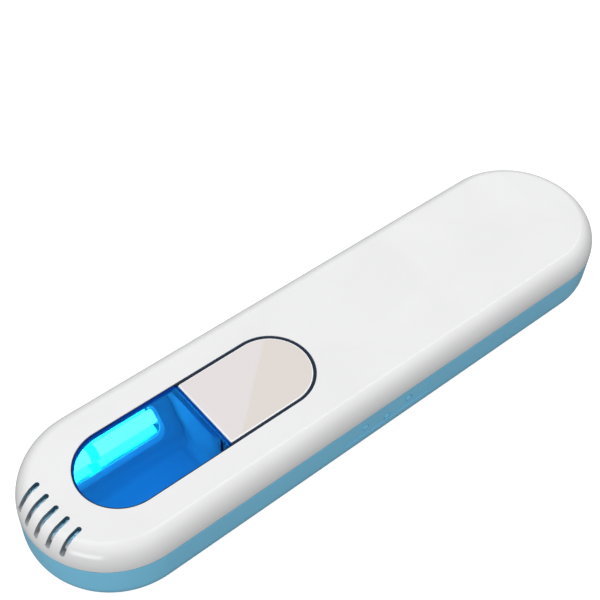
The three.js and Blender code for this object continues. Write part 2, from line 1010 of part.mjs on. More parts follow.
// The minus spring: one wire wound in a helix, and the least gap between its turns
function cellSpring() {
  const start = wellRight + springWireRadius;
  const run = springRoom - 2 * springWireRadius - seatGap;
  const count = springTurns * springSteps;
  const centres = [];
  for (let i = 0; i <= count; i++) {
    const turn = (2 * Math.PI * i) / springSteps;
    centres.push(
      new THREE.Vector3(
        start + (run * i) / count,
        cellAxisY + springCoilRadius * Math.cos(turn),
        cellAxisZ + springCoilRadius * Math.sin(turn),
      ),
    );
  }
  const points = [];
  const index = [];
  centres.forEach((centre, i) => {
    const turn = (2 * Math.PI * i) / springSteps;
    const out = new THREE.Vector3(0, Math.cos(turn), Math.sin(turn));
    const along = new THREE.Vector3(1, 0, 0);
    for (let j = 0; j < springSides; j++) {
      const spin = (2 * Math.PI * j) / springSides;
      const point = centre.clone();
      point.addScaledVector(out, springWireRadius * Math.cos(spin));
      point.addScaledVector(along, springWireRadius * Math.sin(spin));
      points.push(point);
    }
  });
  for (let i = 0; i < count; i++) {
    for (let j = 0; j < springSides; j++) {
      const a = i * springSides + j;
      const b = i * springSides + ((j + 1) % springSides);
      index.push(a, b + springSides, b, a, a + springSides, b + springSides);
    }
  }
  const last = count * springSides;
  for (let j = 1; j + 1 < springSides; j++) {
    index.push(0, j, j + 1);
    index.push(last, last + j + 1, last + j);
  }
  let least = Infinity;
  for (let i = 0; i + springSteps / 2 <= count; i++) {
    for (let k = i + springSteps / 2; k <= count; k++) {
      least = Math.min(least, centres[i].distanceTo(centres[k]) - 2 * springWireRadius);
    }
  }
  console.log("cell spring, least gap to itself " + least.toFixed(2) + " mm");
  const geometry = new THREE.BufferGeometry().setFromPoints(points);
  geometry.setIndex(index);
  return solidOf(geometry);
}

// Circuit board and what stands on it

function circuitBoard() {
  let board = roundedBlock(
    boardLeft,
    boardRight,
    boardFront,
    boardRear,
    boardBottom,
    boardTop,
    boardThickness,
  );
  for (const [x, y] of boardScrewPlaces) {
    const hole = rodZ(screwRadius + fitGap, x, y, boardBottom - overrun, boardTop + overrun);
    board = cut(board, hole);
  }
  return board;
}

function boardPart([sizeX, sizeY, sizeZ], [x, y]) {
  const bottom = boardTop + seatGap;
  return block(x - sizeX / 2, x + sizeX / 2, y - sizeY / 2, y + sizeY / 2, bottom, bottom + sizeZ);
}

const transformerX = boardLeft + transformerLeft + transformerSize[0] / 2;

// The transformer: a core frame with its wound bobbin in the middle
function transformer() {
  const [sizeX, sizeY, sizeZ] = transformerSize;
  const x = transformerX;
  const y = boardRear - transformerRear - sizeY / 2;
  const core = boardPart(transformerSize, [x, y]);
  const inner = [sizeX - 2 * bobbinInset, sizeY + overrun, sizeZ - 2 * bobbinInset];
  const bottom = boardTop + seatGap + bobbinInset;
  const window = block(
    x - inner[0] / 2,
    x + inner[0] / 2,
    y - inner[1] / 2,
    y + inner[1] / 2,
    bottom,
    bottom + inner[2],
  );
  const half = inner[0] / 2 + bobbinInset / 2;
  const middle = boardTop + seatGap + sizeZ / 2;
  return join(cut(core, window), rodX(bobbinRadius, x - half, x + half, y, middle));
}

function capacitor(index) {
  const beside = transformerX + transformerSize[0] / 2;
  const pitch = 2 * capacitorRadius + capacitorGap;
  const x = beside + pitch * (index + 1) - capacitorRadius;
  const y = boardRear - capacitorRear - capacitorRadius;
  const bottom = boardTop + seatGap;
  const can = rodZ(capacitorRadius, x, y, bottom, bottom + capacitorHeight);
  const ringWidth = capacitorRadius / 6;
  const ringHeight = bottom + capacitorHeight / 5;
  const crimp = cut(
    rodZ(capacitorRadius + ringWidth, x, y, ringHeight, ringHeight + ringWidth),
    rodZ(capacitorRadius - ringWidth, x, y, bottom, ringHeight + overrun),
  );
  return cut(can, crimp);
}

function driverChip() {
  const x = boardLeft + chipLeft + chipSize[0] / 2;
  return boardPart(chipSize, [x, boardFront + chipFront + chipSize[1] / 2]);
}

function interlockSwitch() {
  const bottom = boardTop + seatGap;
  const [sizeX] = switchSize;
  const bodyX = interlockX + plungerRadius - sizeX / 2;
  const body = boardPart(switchSize, [bodyX, interlockY - plungerRadius]);
  const top = bottom + switchSize[2];
  const stem = rodZ(
    switchStemRadius,
    interlockX,
    interlockY,
    top - switchStemHeight,
    top + switchStemHeight,
  );
  return join(body, stem);
}

function interlockPlunger() {
  const bottom = boardTop + seatGap + switchSize[2] + switchStemHeight + seatGap;
  const top = lipTop - plungerSink;
  const collarTop = rimHeight - flangeThickness - plungerTravel - fitGap;
  return join(
    rodZ(plungerRadius, interlockX, interlockY, bottom, top),
    rodZ(plungerCollar, interlockX, interlockY, collarTop - plungerCollar, collarTop),
  );
}

// Lamp pieces, in the sloped wall's frame

const reflectorLeft = lampEnd + reflectorFromEnd;
const reflectorRight = chamberRight - reflectorFromDivider;
const capRoom = reflectorWall + fitGap + capFloor + seatGap;
const tubeLeft = reflectorLeft + capRoom;
const tubeRight = reflectorRight - capRoom;
const clipX = THREE.MathUtils.lerp(apertureLeft, apertureRight, clipShare);

function halfEllipse(half, depth, rim) {
  const profile = [];
  for (let i = 0; i <= arcSteps; i++) {
    const turn = Math.PI * (1 + i / arcSteps);
    profile.push(new THREE.Vector2(half * Math.cos(turn), rim + depth * Math.sin(turn)));
  }
  return profile;
}

function lampReflector() {
  const rim = -trayWall - fitGap;
  const outer = bar(halfEllipse(reflectorHalf, reflectorDepth, rim), reflectorLeft, reflectorRight);
  const half = reflectorHalf - reflectorWall;
  const deep = reflectorDepth - reflectorWall;
  const hollow = bar(
    halfEllipse(half, deep, rim),
    reflectorLeft + reflectorWall,
    reflectorRight - reflectorWall,
  );
  const mouth = block(
    reflectorLeft + reflectorWall,
    reflectorRight - reflectorWall,
    -half,
    half,
    rim - seatGap / 2,
    rim + overrun,
  );
  return cut(outer, hollow, mouth);
}

const lampFoot = -trayWall - fitGap - reflectorDepth + reflectorWall + fitGap;

const lampTube = () => rodX(tubeRadius, tubeLeft, tubeRight, 0, -tubeDepth);

// A cap over one end of the tube, on a foot in the reflector; side is -1 left, 1 right
function lampCap(side) {
  const end = side < 0 ? tubeLeft : tubeRight;
  const outer = end + side * (capFloor + seatGap);
  const inner = outer - side * (capFloor + capDepth);
  const x0 = Math.min(outer, inner);
  const x1 = Math.max(outer, inner);
  const body = rodX(capRadius, x0, x1, 0, -tubeDepth);
  const foot = block(x0, x1, -capFootHalf, capFootHalf, lampFoot, -tubeDepth);
  const bore = rodX(
    tubeRadius + fitGap,
    side < 0 ? x0 + capFloor : x0 - overrun,
    side < 0 ? x1 + overrun : x1 - capFloor,
    0,
    -tubeDepth,
  );
  return cut(join(body, foot), bore);
}

function lampClip() {
  const x0 = clipX - clipWidth / 2;
  const x1 = clipX + clipWidth / 2;
  return cut(
    join(
      rodX(capRadius, x0, x1, 0, -tubeDepth),
      block(x0, x1, -capFootHalf, capFootHalf, lampFoot, -tubeDepth),
    ),
    rodX(tubeRadius + fitGap, x0 - overrun, x1 + overrun, 0, -tubeDepth),
  );
}

// Latch

const latchOuter = rimFront + latchInset;
const latchBack = rimFront + latchReach;
const catchFront = latchBack - catchDepth - seatGap;
const shelfBottom = rimHeight - latchShelf;

// The button: a face that follows the case's side, a shelf inside the rim, and three raised pips
function latchButton() {
  const face = block(
    -latchHalf,
    latchHalf,
    latchOuter,
    latchOuter + latchPlate,
    latchBottom,
    rimHeight,
  );
  const shelf = block(-latchHalf, latchHalf, latchOuter, latchBack, shelfBottom, rimHeight);
  const hookSlot = block(
    -latchSlotHalf,
    latchSlotHalf,
    latchOuter + latchPlate,
    catchFront,
    shelfBottom - overrun,
    rimHeight + overrun,
  );
  let button = cut(join(face, shelf), hookSlot);
  for (const side of [-1, 1]) {
    const leg = catchLegPocket(side, fitGap / 2);
    button = cut(button, leg);
  }
  for (const [x, z] of pipPlaces) {
    const pip = new THREE.SphereGeometry(pipRadius, rodSides, roundSteps * 2);
    pip.scale(1, pipRise / pipRadius, 1);
    pip.translate(x, latchOuter, z);
    button = join(button, solidOf(pip));
  }
  return button;
}

function catchLegPocket(side, clearance) {
  const outer = side * (catchHalf + clearance);
  const inner = side * (catchHalf - catchLeg - clearance);
  return block(
    Math.min(outer, inner),
    Math.max(outer, inner),
    catchFront - clearance,
    catchFront + catchDepth + clearance,
    rimHeight - catchLegSink - clearance,
    catchBottom + clearance,
  );
}

// The catch: a bar that stands over the slot on two legs
function latchCatch() {
  const beam = block(
    -catchHalf,
    catchHalf,
    catchFront,
    catchFront + catchDepth,
    catchBottom,
    catchTop,
  );
  return join(beam, catchLegPocket(-1, 0), catchLegPocket(1, 0));
}

// The latch's leaf spring: a bowed steel strip between the button and the tray
function latchSpring() {
  const y0 = latchOuter + latchPlate + seatGap;
  const outline = [];
  const bow = (share) => latchSpringBow * Math.sin(Math.PI * share);
  for (let i = 0; i <= arcSteps; i++) {
    const share = i / arcSteps;
    const x = latchSpringHalf * (2 * share - 1);
    outline.push(new THREE.Vector2(x, y0 + bow(share)));
  }
  for (let i = arcSteps; i >= 0; i--) {
    const share = i / arcSteps;
    const x = latchSpringHalf * (2 * share - 1);
    outline.push(new THREE.Vector2(x, y0 + bow(share) + latchSpringThickness));
  }
  const geometry = new THREE.ExtrudeGeometry(new THREE.Shape(outline), {
    depth: latchSpringWidth,
    bevelEnabled: false,
  });
  geometry.translate(0, 0, latchSpringBottom);
  return solidOf(geometry);
}

// Lid

function lidOuter() {
  const rings = [];
  const rise = caseTop - lidBottom;
  for (let i = 0; i <= lidSteps; i++) {
    const turn = (Math.PI / 2) * (i / lidSteps);
    const z = lidBottom + rise * Math.sin(turn);
    rings.push(capsule(shoulderRun * (1 - Math.cos(turn)), z));
  }
  return loft(rings);
}

function lidInner() {
  const rise = caseTop - lidTopThickness - lidBottom;
  const run = shoulderRun - lidWall;
  const rings = [capsule(lidWall, lidBottom - overrun)];
  for (let i = 0; i <= lidSteps; i++) {
    const turn = (Math.PI / 2) * (i / lidSteps);
    const z = lidBottom + rise * Math.sin(turn);
    rings.push(capsule(lidWall + run * (1 - Math.cos(turn)), z));
  }
  return loft(rings);
}

const ceiling = caseTop - lidTopThickness;
const windowX = lampEnd + windowFromEnd + windowLength / 2;
const windowDivide = chamberRight + mirrorSetBack;
const windowOutline = [windowLength, windowWidth, windowX];

const pocketFloor = caseTop - pocketDepth;

// One side of the window at an inset from the shelf's edge; side is -1 for the opening under the
// pane, 1 for the place of the mirror
function windowSide(side, inset, z0, z1) {
  const divide = windowDivide + side * (shelfWidth + inset);
  const far = windowX + side * windowLength;
  return common(
    slab(sealWidth + shelfWidth + inset, z0, z1, ...windowOutline),
    block(
      Math.min(divide, far),
      Math.max(divide, far),
      -windowWidth,
      windowWidth,
      z0,
      z1,
    ),
  );
}

const windowPocket = () =>
  join(
    slab(0, pocketFloor, caseTop + overrun, ...windowOutline),
    windowSide(-1, 0, ceiling - overrun, caseTop),
  );

function vent(index) {
  const y = (index - (ventCount - 1) / 2) * ventPitch;
  const half = ventWidth / 2;
  const inner = lampEnd + ventFromEnd;
  const outer = lampEnd - overrun;
  const wall = block(outer, inner - half, y - half, y + half, ventBottom + half, caseTop + overrun);
  const rounded = rodZ(half, inner - half, y, ventBottom + half, caseTop + overrun);
  return join(wall, rounded, rodX(half, outer, inner - half, y, ventBottom + half));
}

// Room for the rear bead, so that the lid's rear wall stays clear as the lid swings
function lidRelief() {
  const bead = rodX(barrelRadius + fitGap, -caseLength / 2, caseLength / 2, hingeY, hingeZ);
  const wall = block(
    -caseLength / 2,
    caseLength / 2,
    hingeY,
    rimRear + overrun,
    rimHeight - overrun,
    hingeZ + lidReliefHeight,
  );
  return join(bead, wall);
}

function lidLug(x) {
  const barrel = rodX(barrelRadius, x - lugHalf, x + lugHalf, hingeY, hingeZ);
  const arm = block(
    x - lugHalf,
    x + lugHalf,
    hingeY - barrelRadius,
    hingeY - barrelRadius + armThickness,
    hingeZ,
    ceiling + lidTopThickness / 2,
  );
  const bore = rodX(
    pinRadius + fitGap,
    x - lugHalf - overrun,
    x + lugHalf + overrun,
    hingeY,
    hingeZ,
  );
  return cut(join(barrel, common(arm, lidOuter().add(lugZone(x)))), bore);
}

function lugZone(x) {
  return block(
    x - lugHalf,
    x + lugHalf,
    hingeY - barrelRadius,
    hingeY,
    hingeZ,
    hingeZ + lidReliefHeight,
  );
}

// The hook that drops into the latch's slot, with its barb just short of the catch
function lidHook() {
  const barbTip = catchFront - fitGap;
  const back = barbTip - hookBarb;
  const front = back - hookThickness;
  const stem = block(-hookHalf, hookHalf, front, back, hookBottom, ceiling + lidTopThickness / 2);
  const profile = [
    new THREE.Vector2(front, hookBottom),
    new THREE.Vector2(back, hookBottom),
    new THREE.Vector2(barbTip, hookBottom + hookBarbHeight),
    new THREE.Vector2(back, hookBottom + hookBarbHeight),
    new THREE.Vector2(front, hookBottom + hookBarbHeight),
  ];
  return join(stem, bar(profile, -hookHalf, hookHalf));
}

function lidShell() {
  const lidRimInset = (caseWidth - windowWidth) / 2 - lidRimFromWindow;
  const low = ceiling - lidRimDrop;
  const high = ceiling + lidTopThickness / 2;
  const inner = lidRimInset + lidRimWidth;
  const rimRib = cut(slab(lidRimInset, low, high), slab(inner, low - overrun, high + overrun));
  let shell = join(cut(lidOuter(), lidInner()), rimRib);
  shell = join(shell, lidHook());
  shell = join(
    shell,
    rodZ(
      pegRadius,
      interlockX,
      interlockY,
      lipTop - pegEntry,
      ceiling + lidTopThickness / 2,
    ),
  );
  shell = cut(shell, lidRelief());
  for (const x of hingePlaces) shell = join(shell, lidLug(x));
  shell = cut(shell, windowPocket());
  for (let i = 0; i < ventCount; i++) shell = cut(shell, vent(i));
  return shell;
}

// Window pane, mirror and the seal round them

const sealFloor = pocketFloor + seatGap;

// The seal: an upright ring, a flange that the pane and the mirror lie on, and a skirt that lines
// the opening under the pane
function windowSeal() {
  const flangeTop = sealFloor + sealFlange;
  const skirtBottom = ceiling - sealSkirtDrop;
  const lined = seatGap + sealSkirt;
  return cut(
    join(
      slab(seatGap, sealFloor, caseTop, ...windowOutline),
      windowSide(-1, seatGap, skirtBottom, flangeTop),
    ),
    slab(sealWidth, flangeTop, caseTop + overrun, ...windowOutline),
    windowSide(-1, lined, skirtBottom - overrun, caseTop),
    windowSide(1, lined, sealFloor - overrun, caseTop),
  );
}

function windowHalf(thickness, side) {
  const inset = sealWidth + fitGap / 2;
  const bottom = sealFloor + sealFlange + seatGap;
  const plate = slab(inset, bottom, bottom + thickness, ...windowOutline);
  const divide = windowDivide + (side * fitGap) / 2;
  const far = windowX + side * windowLength;
  const zone = block(
    Math.min(divide, far),
    Math.max(divide, far),
    -windowWidth,
    windowWidth,
    bottom - overrun,
    caseTop + overrun,
  );
  return common(plate, zone);
}

function hingePin(x) {
  const half = lugHalf + fitGap + pinStickIn - fitGap;
  return rodX(pinRadius, x - half, x + half, hingeY, hingeZ);
}

// Materials

const finish = (color, roughness, metalness = 0) =>
  new THREE.MeshStandardMaterial({ color, roughness, metalness });
const glossWhite = finish(0xeeeeef, 0.2);
const linerWhite = finish(0xd8dbde, 0.35);
const shellBlue = finish(0x7fb6d6, 0.35);
const paneBlue = new THREE.MeshStandardMaterial({
  color: 0x1a7fe0,
  roughness: 0.1,
  transparent: true,
  opacity: 0.5,
});
const mirrorPale = finish(0xe4dfda, 0.08, 0.6);
const sealNavy = finish(0x1d3350, 0.4);
const lampGlass = finish(0x9fd8e0, 0.1);
const reflectorTeal = finish(0x1c3a44, 0.4, 0.4);
const darkCap = finish(0x20282c, 0.6);
const paleClip = finish(0xc9c6c0, 0.5);
const steel = finish(0xb5b8bb, 0.3, 0.9);
const cellGreen = finish(0x2f5d46, 0.4, 0.3);
const boardGreen = finish(0x1f5a35, 0.5);
const ferriteBlack = finish(0x26221f, 0.6);
const canBlue = finish(0x21324e, 0.35, 0.2);
const switchBlack = finish(0x17181a, 0.5);

// Assembly

function piece(name, solid, material) {
  const mesh = new THREE.Mesh(geometryOf(solid), material);
  mesh.name = name;
  return mesh;
}

const caseBody = new THREE.Group();
caseBody.add(piece("base_shell", baseShell(), shellBlue));
caseBody.add(piece("liner_tray", linerTray(), linerWhite));
caseBody.add(piece("battery_cover", batteryCover(), linerWhite));
["cell_left", "cell_right"].forEach((name, i) => {
  caseBody.add(piece(name, cell(i), cellGreen));
});
caseBody.add(piece("plus_contact", contactPlate(cellsLeft - cellGap - plateThickness), steel));
caseBody.add(piece("minus_contact", contactPlate(springRight), steel));
caseBody.add(piece("cell_spring", cellSpring(), steel));
caseBody.add(piece("circuit_board", circuitBoard(), boardGreen));
caseBody.add(piece("lamp_transformer", transformer(), ferriteBlack));
["left", "right"].forEach((side, i) => {
  caseBody.add(piece("capacitor_" + side, capacitor(i), canBlue));
});
caseBody.add(piece("driver_chip", driverChip(), switchBlack));
caseBody.add(piece("interlock_switch", interlockSwitch(), switchBlack));
caseBody.add(piece("interlock_plunger", interlockPlunger(), switchBlack));

screwPlaces.forEach(([x, y], i) => {
  const shape = screw(screwHeadRadius, screwHeadHeight, screwRadius, screwLength);
  const mesh = piece("case_screw_" + (i + 1), shape, steel);
  mesh.position.set(x, y, screwSeat);
  caseBody.add(mesh);
});
boardScrewPlaces.forEach(([x, y], i) => {
  const shape = screw(screwHeadRadius, boardScrewHeadHeight, screwRadius, boardScrewLength);
  const mesh = piece("board_screw_" + (i + 1), shape, steel);
  mesh.rotation.x = Math.PI;
  mesh.position.set(x, y, boardTop + seatGap + boardScrewHeadHeight);
  caseBody.add(mesh);
});
hingePlaces.forEach((x, i) => {
  caseBody.add(piece("hinge_pin_" + ["left", "right"][i], hingePin(x), steel));
});

const lamp = new THREE.Group();
lamp.position.set(0, lampCentreY, lampCentreZ);
lamp.rotation.x = lampSlope;
lamp.add(piece("lamp_reflector", lampReflector(), reflectorTeal));
lamp.add(piece("lamp_tube", lampTube(), lampGlass));
lamp.add(piece("lamp_cap_left", lampCap(-1), darkCap));
lamp.add(piece("lamp_cap_right", lampCap(1), darkCap));
lamp.add(piece("lamp_clip", lampClip(), paleClip));

const latch = new THREE.Group();
latch.add(piece("latch_button", latchButton(), shellBlue));
latch.add(piece("latch_catch", latchCatch(), glossWhite));
latch.add(piece("latch_spring", latchSpring(), steel));

const lid = new THREE.Group();
lid.add(piece("lid_shell", lidShell(), glossWhite));
lid.add(piece("window_pane", windowHalf(paneThickness, -1), paneBlue));
lid.add(piece("mirror_panel", windowHalf(mirrorThickness, 1), mirrorPale));
lid.add(piece("window_seal", windowSeal(), sealNavy));

const sanitizerCase = new THREE.Group();
sanitizerCase.add(caseBody, lamp, latch, lid);

export default sanitizerCase;
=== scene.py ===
import math

import bpy
from mathutils import Matrix, Vector


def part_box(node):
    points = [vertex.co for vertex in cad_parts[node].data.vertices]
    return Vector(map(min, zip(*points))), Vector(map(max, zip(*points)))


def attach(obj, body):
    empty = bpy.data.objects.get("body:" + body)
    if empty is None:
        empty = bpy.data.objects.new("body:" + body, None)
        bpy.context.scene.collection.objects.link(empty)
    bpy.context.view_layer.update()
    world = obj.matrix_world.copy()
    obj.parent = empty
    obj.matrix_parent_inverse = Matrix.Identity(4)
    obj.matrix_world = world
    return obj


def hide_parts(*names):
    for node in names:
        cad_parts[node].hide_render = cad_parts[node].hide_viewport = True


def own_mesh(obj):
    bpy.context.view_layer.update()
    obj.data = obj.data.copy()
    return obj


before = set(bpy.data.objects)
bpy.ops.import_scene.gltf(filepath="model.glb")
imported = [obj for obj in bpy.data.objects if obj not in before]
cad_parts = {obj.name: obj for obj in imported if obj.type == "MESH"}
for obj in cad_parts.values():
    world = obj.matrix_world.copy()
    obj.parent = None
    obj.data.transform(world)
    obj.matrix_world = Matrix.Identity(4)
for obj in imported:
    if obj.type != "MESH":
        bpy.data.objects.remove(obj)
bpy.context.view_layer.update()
scene = bpy.context.scene
scene.view_settings.view_transform = "Standard"

# Stand for the picture: a wide grey floor, with soft lights above, over the front and low down
# at the lamp end. Floor and sky look white to the camera, and the case's shadow is very faint.

SENSOR_WIDTH = 36
PICTURE_PIXELS = 600
FOCAL_PIXELS = 1230.66
camera_place = Vector((-0.17251, -0.17346, 0.32111))
camera_right = Vector((0.76736, -0.64008, 0.03811))
camera_up = Vector((0.4642, 0.59554, 0.65564))
camera_view = Vector((0.44235, 0.48542, -0.75411))
camera = bpy.data.objects.new("camera", bpy.data.cameras.new("camera"))
scene.collection.objects.link(camera)
camera_turn = Matrix((camera_right, camera_up, -camera_view)).transposed().to_4x4()
camera.matrix_world = Matrix.Translation(camera_place) @ camera_turn
camera.data.sensor_width = SENSOR_WIDTH
camera.data.lens = FOCAL_PIXELS / PICTURE_PIXELS * SENSOR_WIDTH
camera.data.clip_start = 0.01
scene.camera = camera


def add_node(tree, kind, links=(), **settings):
    """One shader node; links are (input name, socket to link or value to set)."""
    node = tree.nodes.new(kind)
    for name, value in settings.items():
        setattr(node, name, value)
    for name, source in links:
        if isinstance(source, bpy.types.NodeSocket):
            tree.links.new(source, node.inputs[name])
        else:
            node.inputs[name].default_value = source
    return node


def mapped(tree, value, low, high, to_low=0.0, to_high=1.0):
    """A value's run from low to high, laid on the run from to_low to to_high."""
    ends = [("From Min", low), ("From Max", high), ("To Min", to_low), ("To Max", to_high)]
    return add_node(tree, "ShaderNodeMapRange", [("Value", value), *ends]).outputs["Result"]


def ramp(tree, value, *stops, blend="LINEAR"):
    """Colours along a value; stops are (position, colour), lowest first."""
    node = add_node(tree, "ShaderNodeValToRGB", [("Fac", value)])
    node.color_ramp.interpolation = blend
    elements = node.color_ramp.elements
    for stop, (position, colour) in zip(elements, stops):
        stop.position = position
        stop.color = (*colour, 1)
    for position, colour in stops[2:]:
        elements.new(position).color = (*colour, 1)
    return node.outputs["Color"]


def axis_of(tree, place, axis):
    return add_node(tree, "ShaderNodeSeparateXYZ", [("Vector", place)]).outputs[axis]


def new_material(name):
    """A fresh material, its node tree and its Principled shader."""
    material = bpy.data.materials.new(name)
    material.use_nodes = True
    return material, material.node_tree, material.node_tree.nodes["Principled BSDF"]


world = bpy.data.worlds.new("studio")
scene.world = world
world.use_nodes = True
sky = world.node_tree
sky_shader = sky.nodes["Background"]
sky_place = add_node(sky, "ShaderNodeTexCoord").outputs["Generated"]
sky_height = mapped(sky, axis_of(sky, sky_place, "Z"), -1.0, 1.0)
sky_tone = ramp(sky, sky_height, (0.52, (0.15, 0.155, 0.165)), (0.84, (1, 1, 1)))
sky.links.new(sky_tone, sky_shader.inputs["Color"])
sky_shader.inputs["Strength"].default_value = 0.95
sky_white = add_node(sky, "ShaderNodeBackground", [("Color", (1, 1, 1, 1)), ("Strength", 1.0)])
sky_rays = add_node(sky, "ShaderNodeLightPath")
sky_both = add_node(
    sky,
    "ShaderNodeMixShader",
    [
        ("Fac", sky_rays.outputs["Is Camera Ray"]),
        (1, sky_shader.outputs[0]),
        (2, sky_white.outputs[0]),
    ],
)
sky.links.new(sky_both.outputs[0], sky.nodes["World Output"].inputs["Surface"])

FLOOR_HALF = 3
corner_signs = ((-1, -1), (1, -1), (1, 1), (-1, 1))
floor_corners = [(FLOOR_HALF * x, FLOOR_HALF * y, 0) for x, y in corner_signs]
floor_mesh = bpy.data.meshes.new("floor")
floor_mesh.from_pydata(floor_corners, [], [(0, 1, 2, 3)])
floor = bpy.data.objects.new("floor", floor_mesh)
scene.collection.objects.link(floor)
floor_paint, sweep, sweep_shader = new_material("white sweep")
sweep_shader.inputs["Base Color"].default_value = (0.25, 0.25, 0.25, 1)
sweep_shader.inputs["Roughness"].default_value = 1
sweep_shader.inputs["Specular IOR Level"].default_value = 0
rays = add_node(sweep, "ShaderNodeLightPath")
seen = add_node(
    sweep,
    "ShaderNodeMath",
    [(0, rays.outputs["Is Camera Ray"]), (1, rays.outputs["Is Transmission Ray"])],
    operation="MAXIMUM",
)
lift = add_node(sweep, "ShaderNodeMath", [(0, seen.outputs[0]), (1, 0.92)], operation="MULTIPLY")
white = add_node(sweep, "ShaderNodeEmission", [("Strength", lift.outputs[0])])
both = add_node(
    sweep, "ShaderNodeAddShader", [(0, sweep_shader.outputs[0]), (1, white.outputs[0])]
)
sweep.links.new(both.outputs[0], sweep.nodes["Material Output"].inputs["Surface"])
floor_mesh.materials.append(floor_paint)


def soft_light(name, place, size, power):
    """A soft rectangular light at a place, facing the case."""
    data = bpy.data.lights.new(name, "AREA")
    data.shape = "RECTANGLE"
    data.size, data.size_y = size
    data.energy = power
    light = bpy.data.objects.new(name, data)
    scene.collection.objects.link(light)
    turn = Vector(place).to_track_quat("Z", "Y").to_matrix().to_4x4()
    light.matrix_world = Matrix.Translation(Vector(place)) @ turn


soft_light("light above", (-0.35, 0.3, 1.1), (0.9, 0.8), 1.9)
soft_light("strip over the front", (0.55, 0.12, 1.1), (0.25, 1.0), 1.9)
soft_light("low light at the lamp end", (-0.9, -0.45, 0.2), (0.5, 0.3), 1.9)

# Base shell: the long tub with round ends and a rounded bottom edge that everything sits in.
# One moulding of pale blue plastic, 1.8 thick, with the hinge bead on its rear rim.

CASE_LENGTH = 220
CASE_WIDTH = 55
CASE_TOP = 26
RIM = 18
SEAM = 18.3
SIDE = CASE_LENGTH / 2
REAR = CASE_WIDTH / 2
END = (CASE_LENGTH - CASE_WIDTH) / 2
ARC = 56
TUB_WALL = 1.8
HALF_WALL = 0.9
TUB_EDGE = 8.8
TUB_DRAFT = 0.4
HINGE_Y = 25.4
HINGE_PLACES = (-72, 72)
BARREL = 2
PIN_BORE = 1.1
LUG_ROOM = 3.3
KNUCKLE_END = 6.5
PIN_REACH = 5.7
SCREW_PLACES = ((-43.5, 3.5), (84.5, 20), (-98.5, 14))
SCREW_BORE = 1.3
BUTTON_HALF = 18
BUTTON_BOTTOM = 9.8


def to_object(name, points, faces):
    mesh = bpy.data.meshes.new(name)
    mesh.from_pydata(points, [], faces)
    mesh.update()
    made = bpy.data.objects.new(name, mesh)
    scene.collection.objects.link(made)
    return made


def capsule(inset, z, length=CASE_LENGTH, width=CASE_WIDTH, middle=0):
    """The round-ended outline of the case, or of the window in it, at an inset and a height."""
    radius = width / 2 - inset
    reach = (length - width) / 2
    ring = []
    for side in (1, -1):
        for i in range(ARC + 1):
            turn = math.pi * (i / ARC - 0.5)
            x = middle + side * (reach + radius * math.cos(turn))
            ring.append((x, side * radius * math.sin(turn), z))
    return ring


def loft(rings):
    """A closed solid through level rings, lowest first, each anticlockwise from above."""
    count = len(rings[0])
    faces = [tuple(reversed(range(count)))]
    for row in range(len(rings) - 1):
        for i in range(count):
            a = row * count + i
            b = row * count + (i + 1) % count
            faces.append((a, b, b + count, a + count))
    last = (len(rings) - 1) * count
    faces.append(tuple(range(last, last + count)))
    return to_object("solid", [p for ring in rings for p in ring], faces)


def prism(outline, z0, z1):
    """An outline of (x, y) points, anticlockwise from above, run from z0 to z1."""
    return loft([[(x, y, z) for x, y in outline] for z in (z0, z1)])


def slab(inset, z0, z1, **outline):
    return loft([capsule(inset, z0, **outline), capsule(inset, z1, **outline)])


def block(x0, x1, y0, y1, z0, z1):
    return prism([(x0, y0), (x1, y0), (x1, y1), (x0, y1)], z0, z1)


def bar(profile, x0, x1):
    """A profile of (y, z) points, anticlockwise seen from +X, run from x0 to x1."""
    count = len(profile)
    points = [(x, y, z) for x in (x0, x1) for y, z in profile]
    faces = [tuple(reversed(range(count))), tuple(range(count, 2 * count))]
    for i in range(count):
        j = (i + 1) % count
        faces.append((i, j, j + count, i + count))
    return to_object("solid", points, faces)


def circle(radius, u=0, v=0, sides=48):
    turns = [2 * math.pi * i / sides for i in range(sides)]
    return [(u + radius * math.cos(t), v + radius * math.sin(t)) for t in turns]


def rod_x(radius, x0, x1, y, z, sides=48):
    return bar(circle(radius, y, z, sides), x0, x1)


def rod_z(radius, x, y, z0, z1, sides=48):
    return prism(circle(radius, x, y, sides), z0, z1)


def settle(made):
    """Applies an object's modifiers to its mesh."""
    graph = bpy.context.evaluated_depsgraph_get()
    mesh = bpy.data.meshes.new_from_object(made.evaluated_get(graph))
    old = made.data
    made.modifiers.clear()
    made.data = mesh
    bpy.data.meshes.remove(old)


def combine(body, operation, tools):
    for tool in tools:
        step = body.modifiers.new("combine", "BOOLEAN")
        step.operation = operation
        step.solver = "MANIFOLD"
        step.object = tool
    settle(body)
    for tool in tools:
        mesh = tool.data
        bpy.data.objects.remove(tool)
        bpy.data.meshes.remove(mesh)
    return body


def join(body, *tools):
    return combine(body, "UNION", tools)


def cut(body, *tools):
    return combine(body, "DIFFERENCE", tools)


def common(body, *tools):
    return combine(body, "INTERSECT", tools)


def finish_piece(made, name, material, body, node, bevel=0.0, sharp=32):
    """Names a finished solid, rounds its edges, turns it to metres and hands it to its body."""
    made.name = name
    made.data.name = name
    if bevel:
        step = made.modifiers.new("edges", "BEVEL")
        step.width = bevel
        step.segments = 2
        step.limit_method = "ANGLE"
        step.angle_limit = math.radians(40)
        step.use_clamp_overlap = True
        step.harden_normals = False
        settle(made)
    made.data.transform(Matrix.Scale(0.001, 4))
    made.data.shade_smooth()
    made.data.set_sharp_from_angle(angle=math.radians(sharp))
    weigh = made.modifiers.new("even shading", "WEIGHTED_NORMAL")
    weigh.keep_sharp = True
    made.data.materials.clear()
    made.data.materials.append(material)
    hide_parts(node)
    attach(made, body)
    return made


def object_place(tree):
    return add_node(tree, "ShaderNodeTexCoord").outputs["Object"]


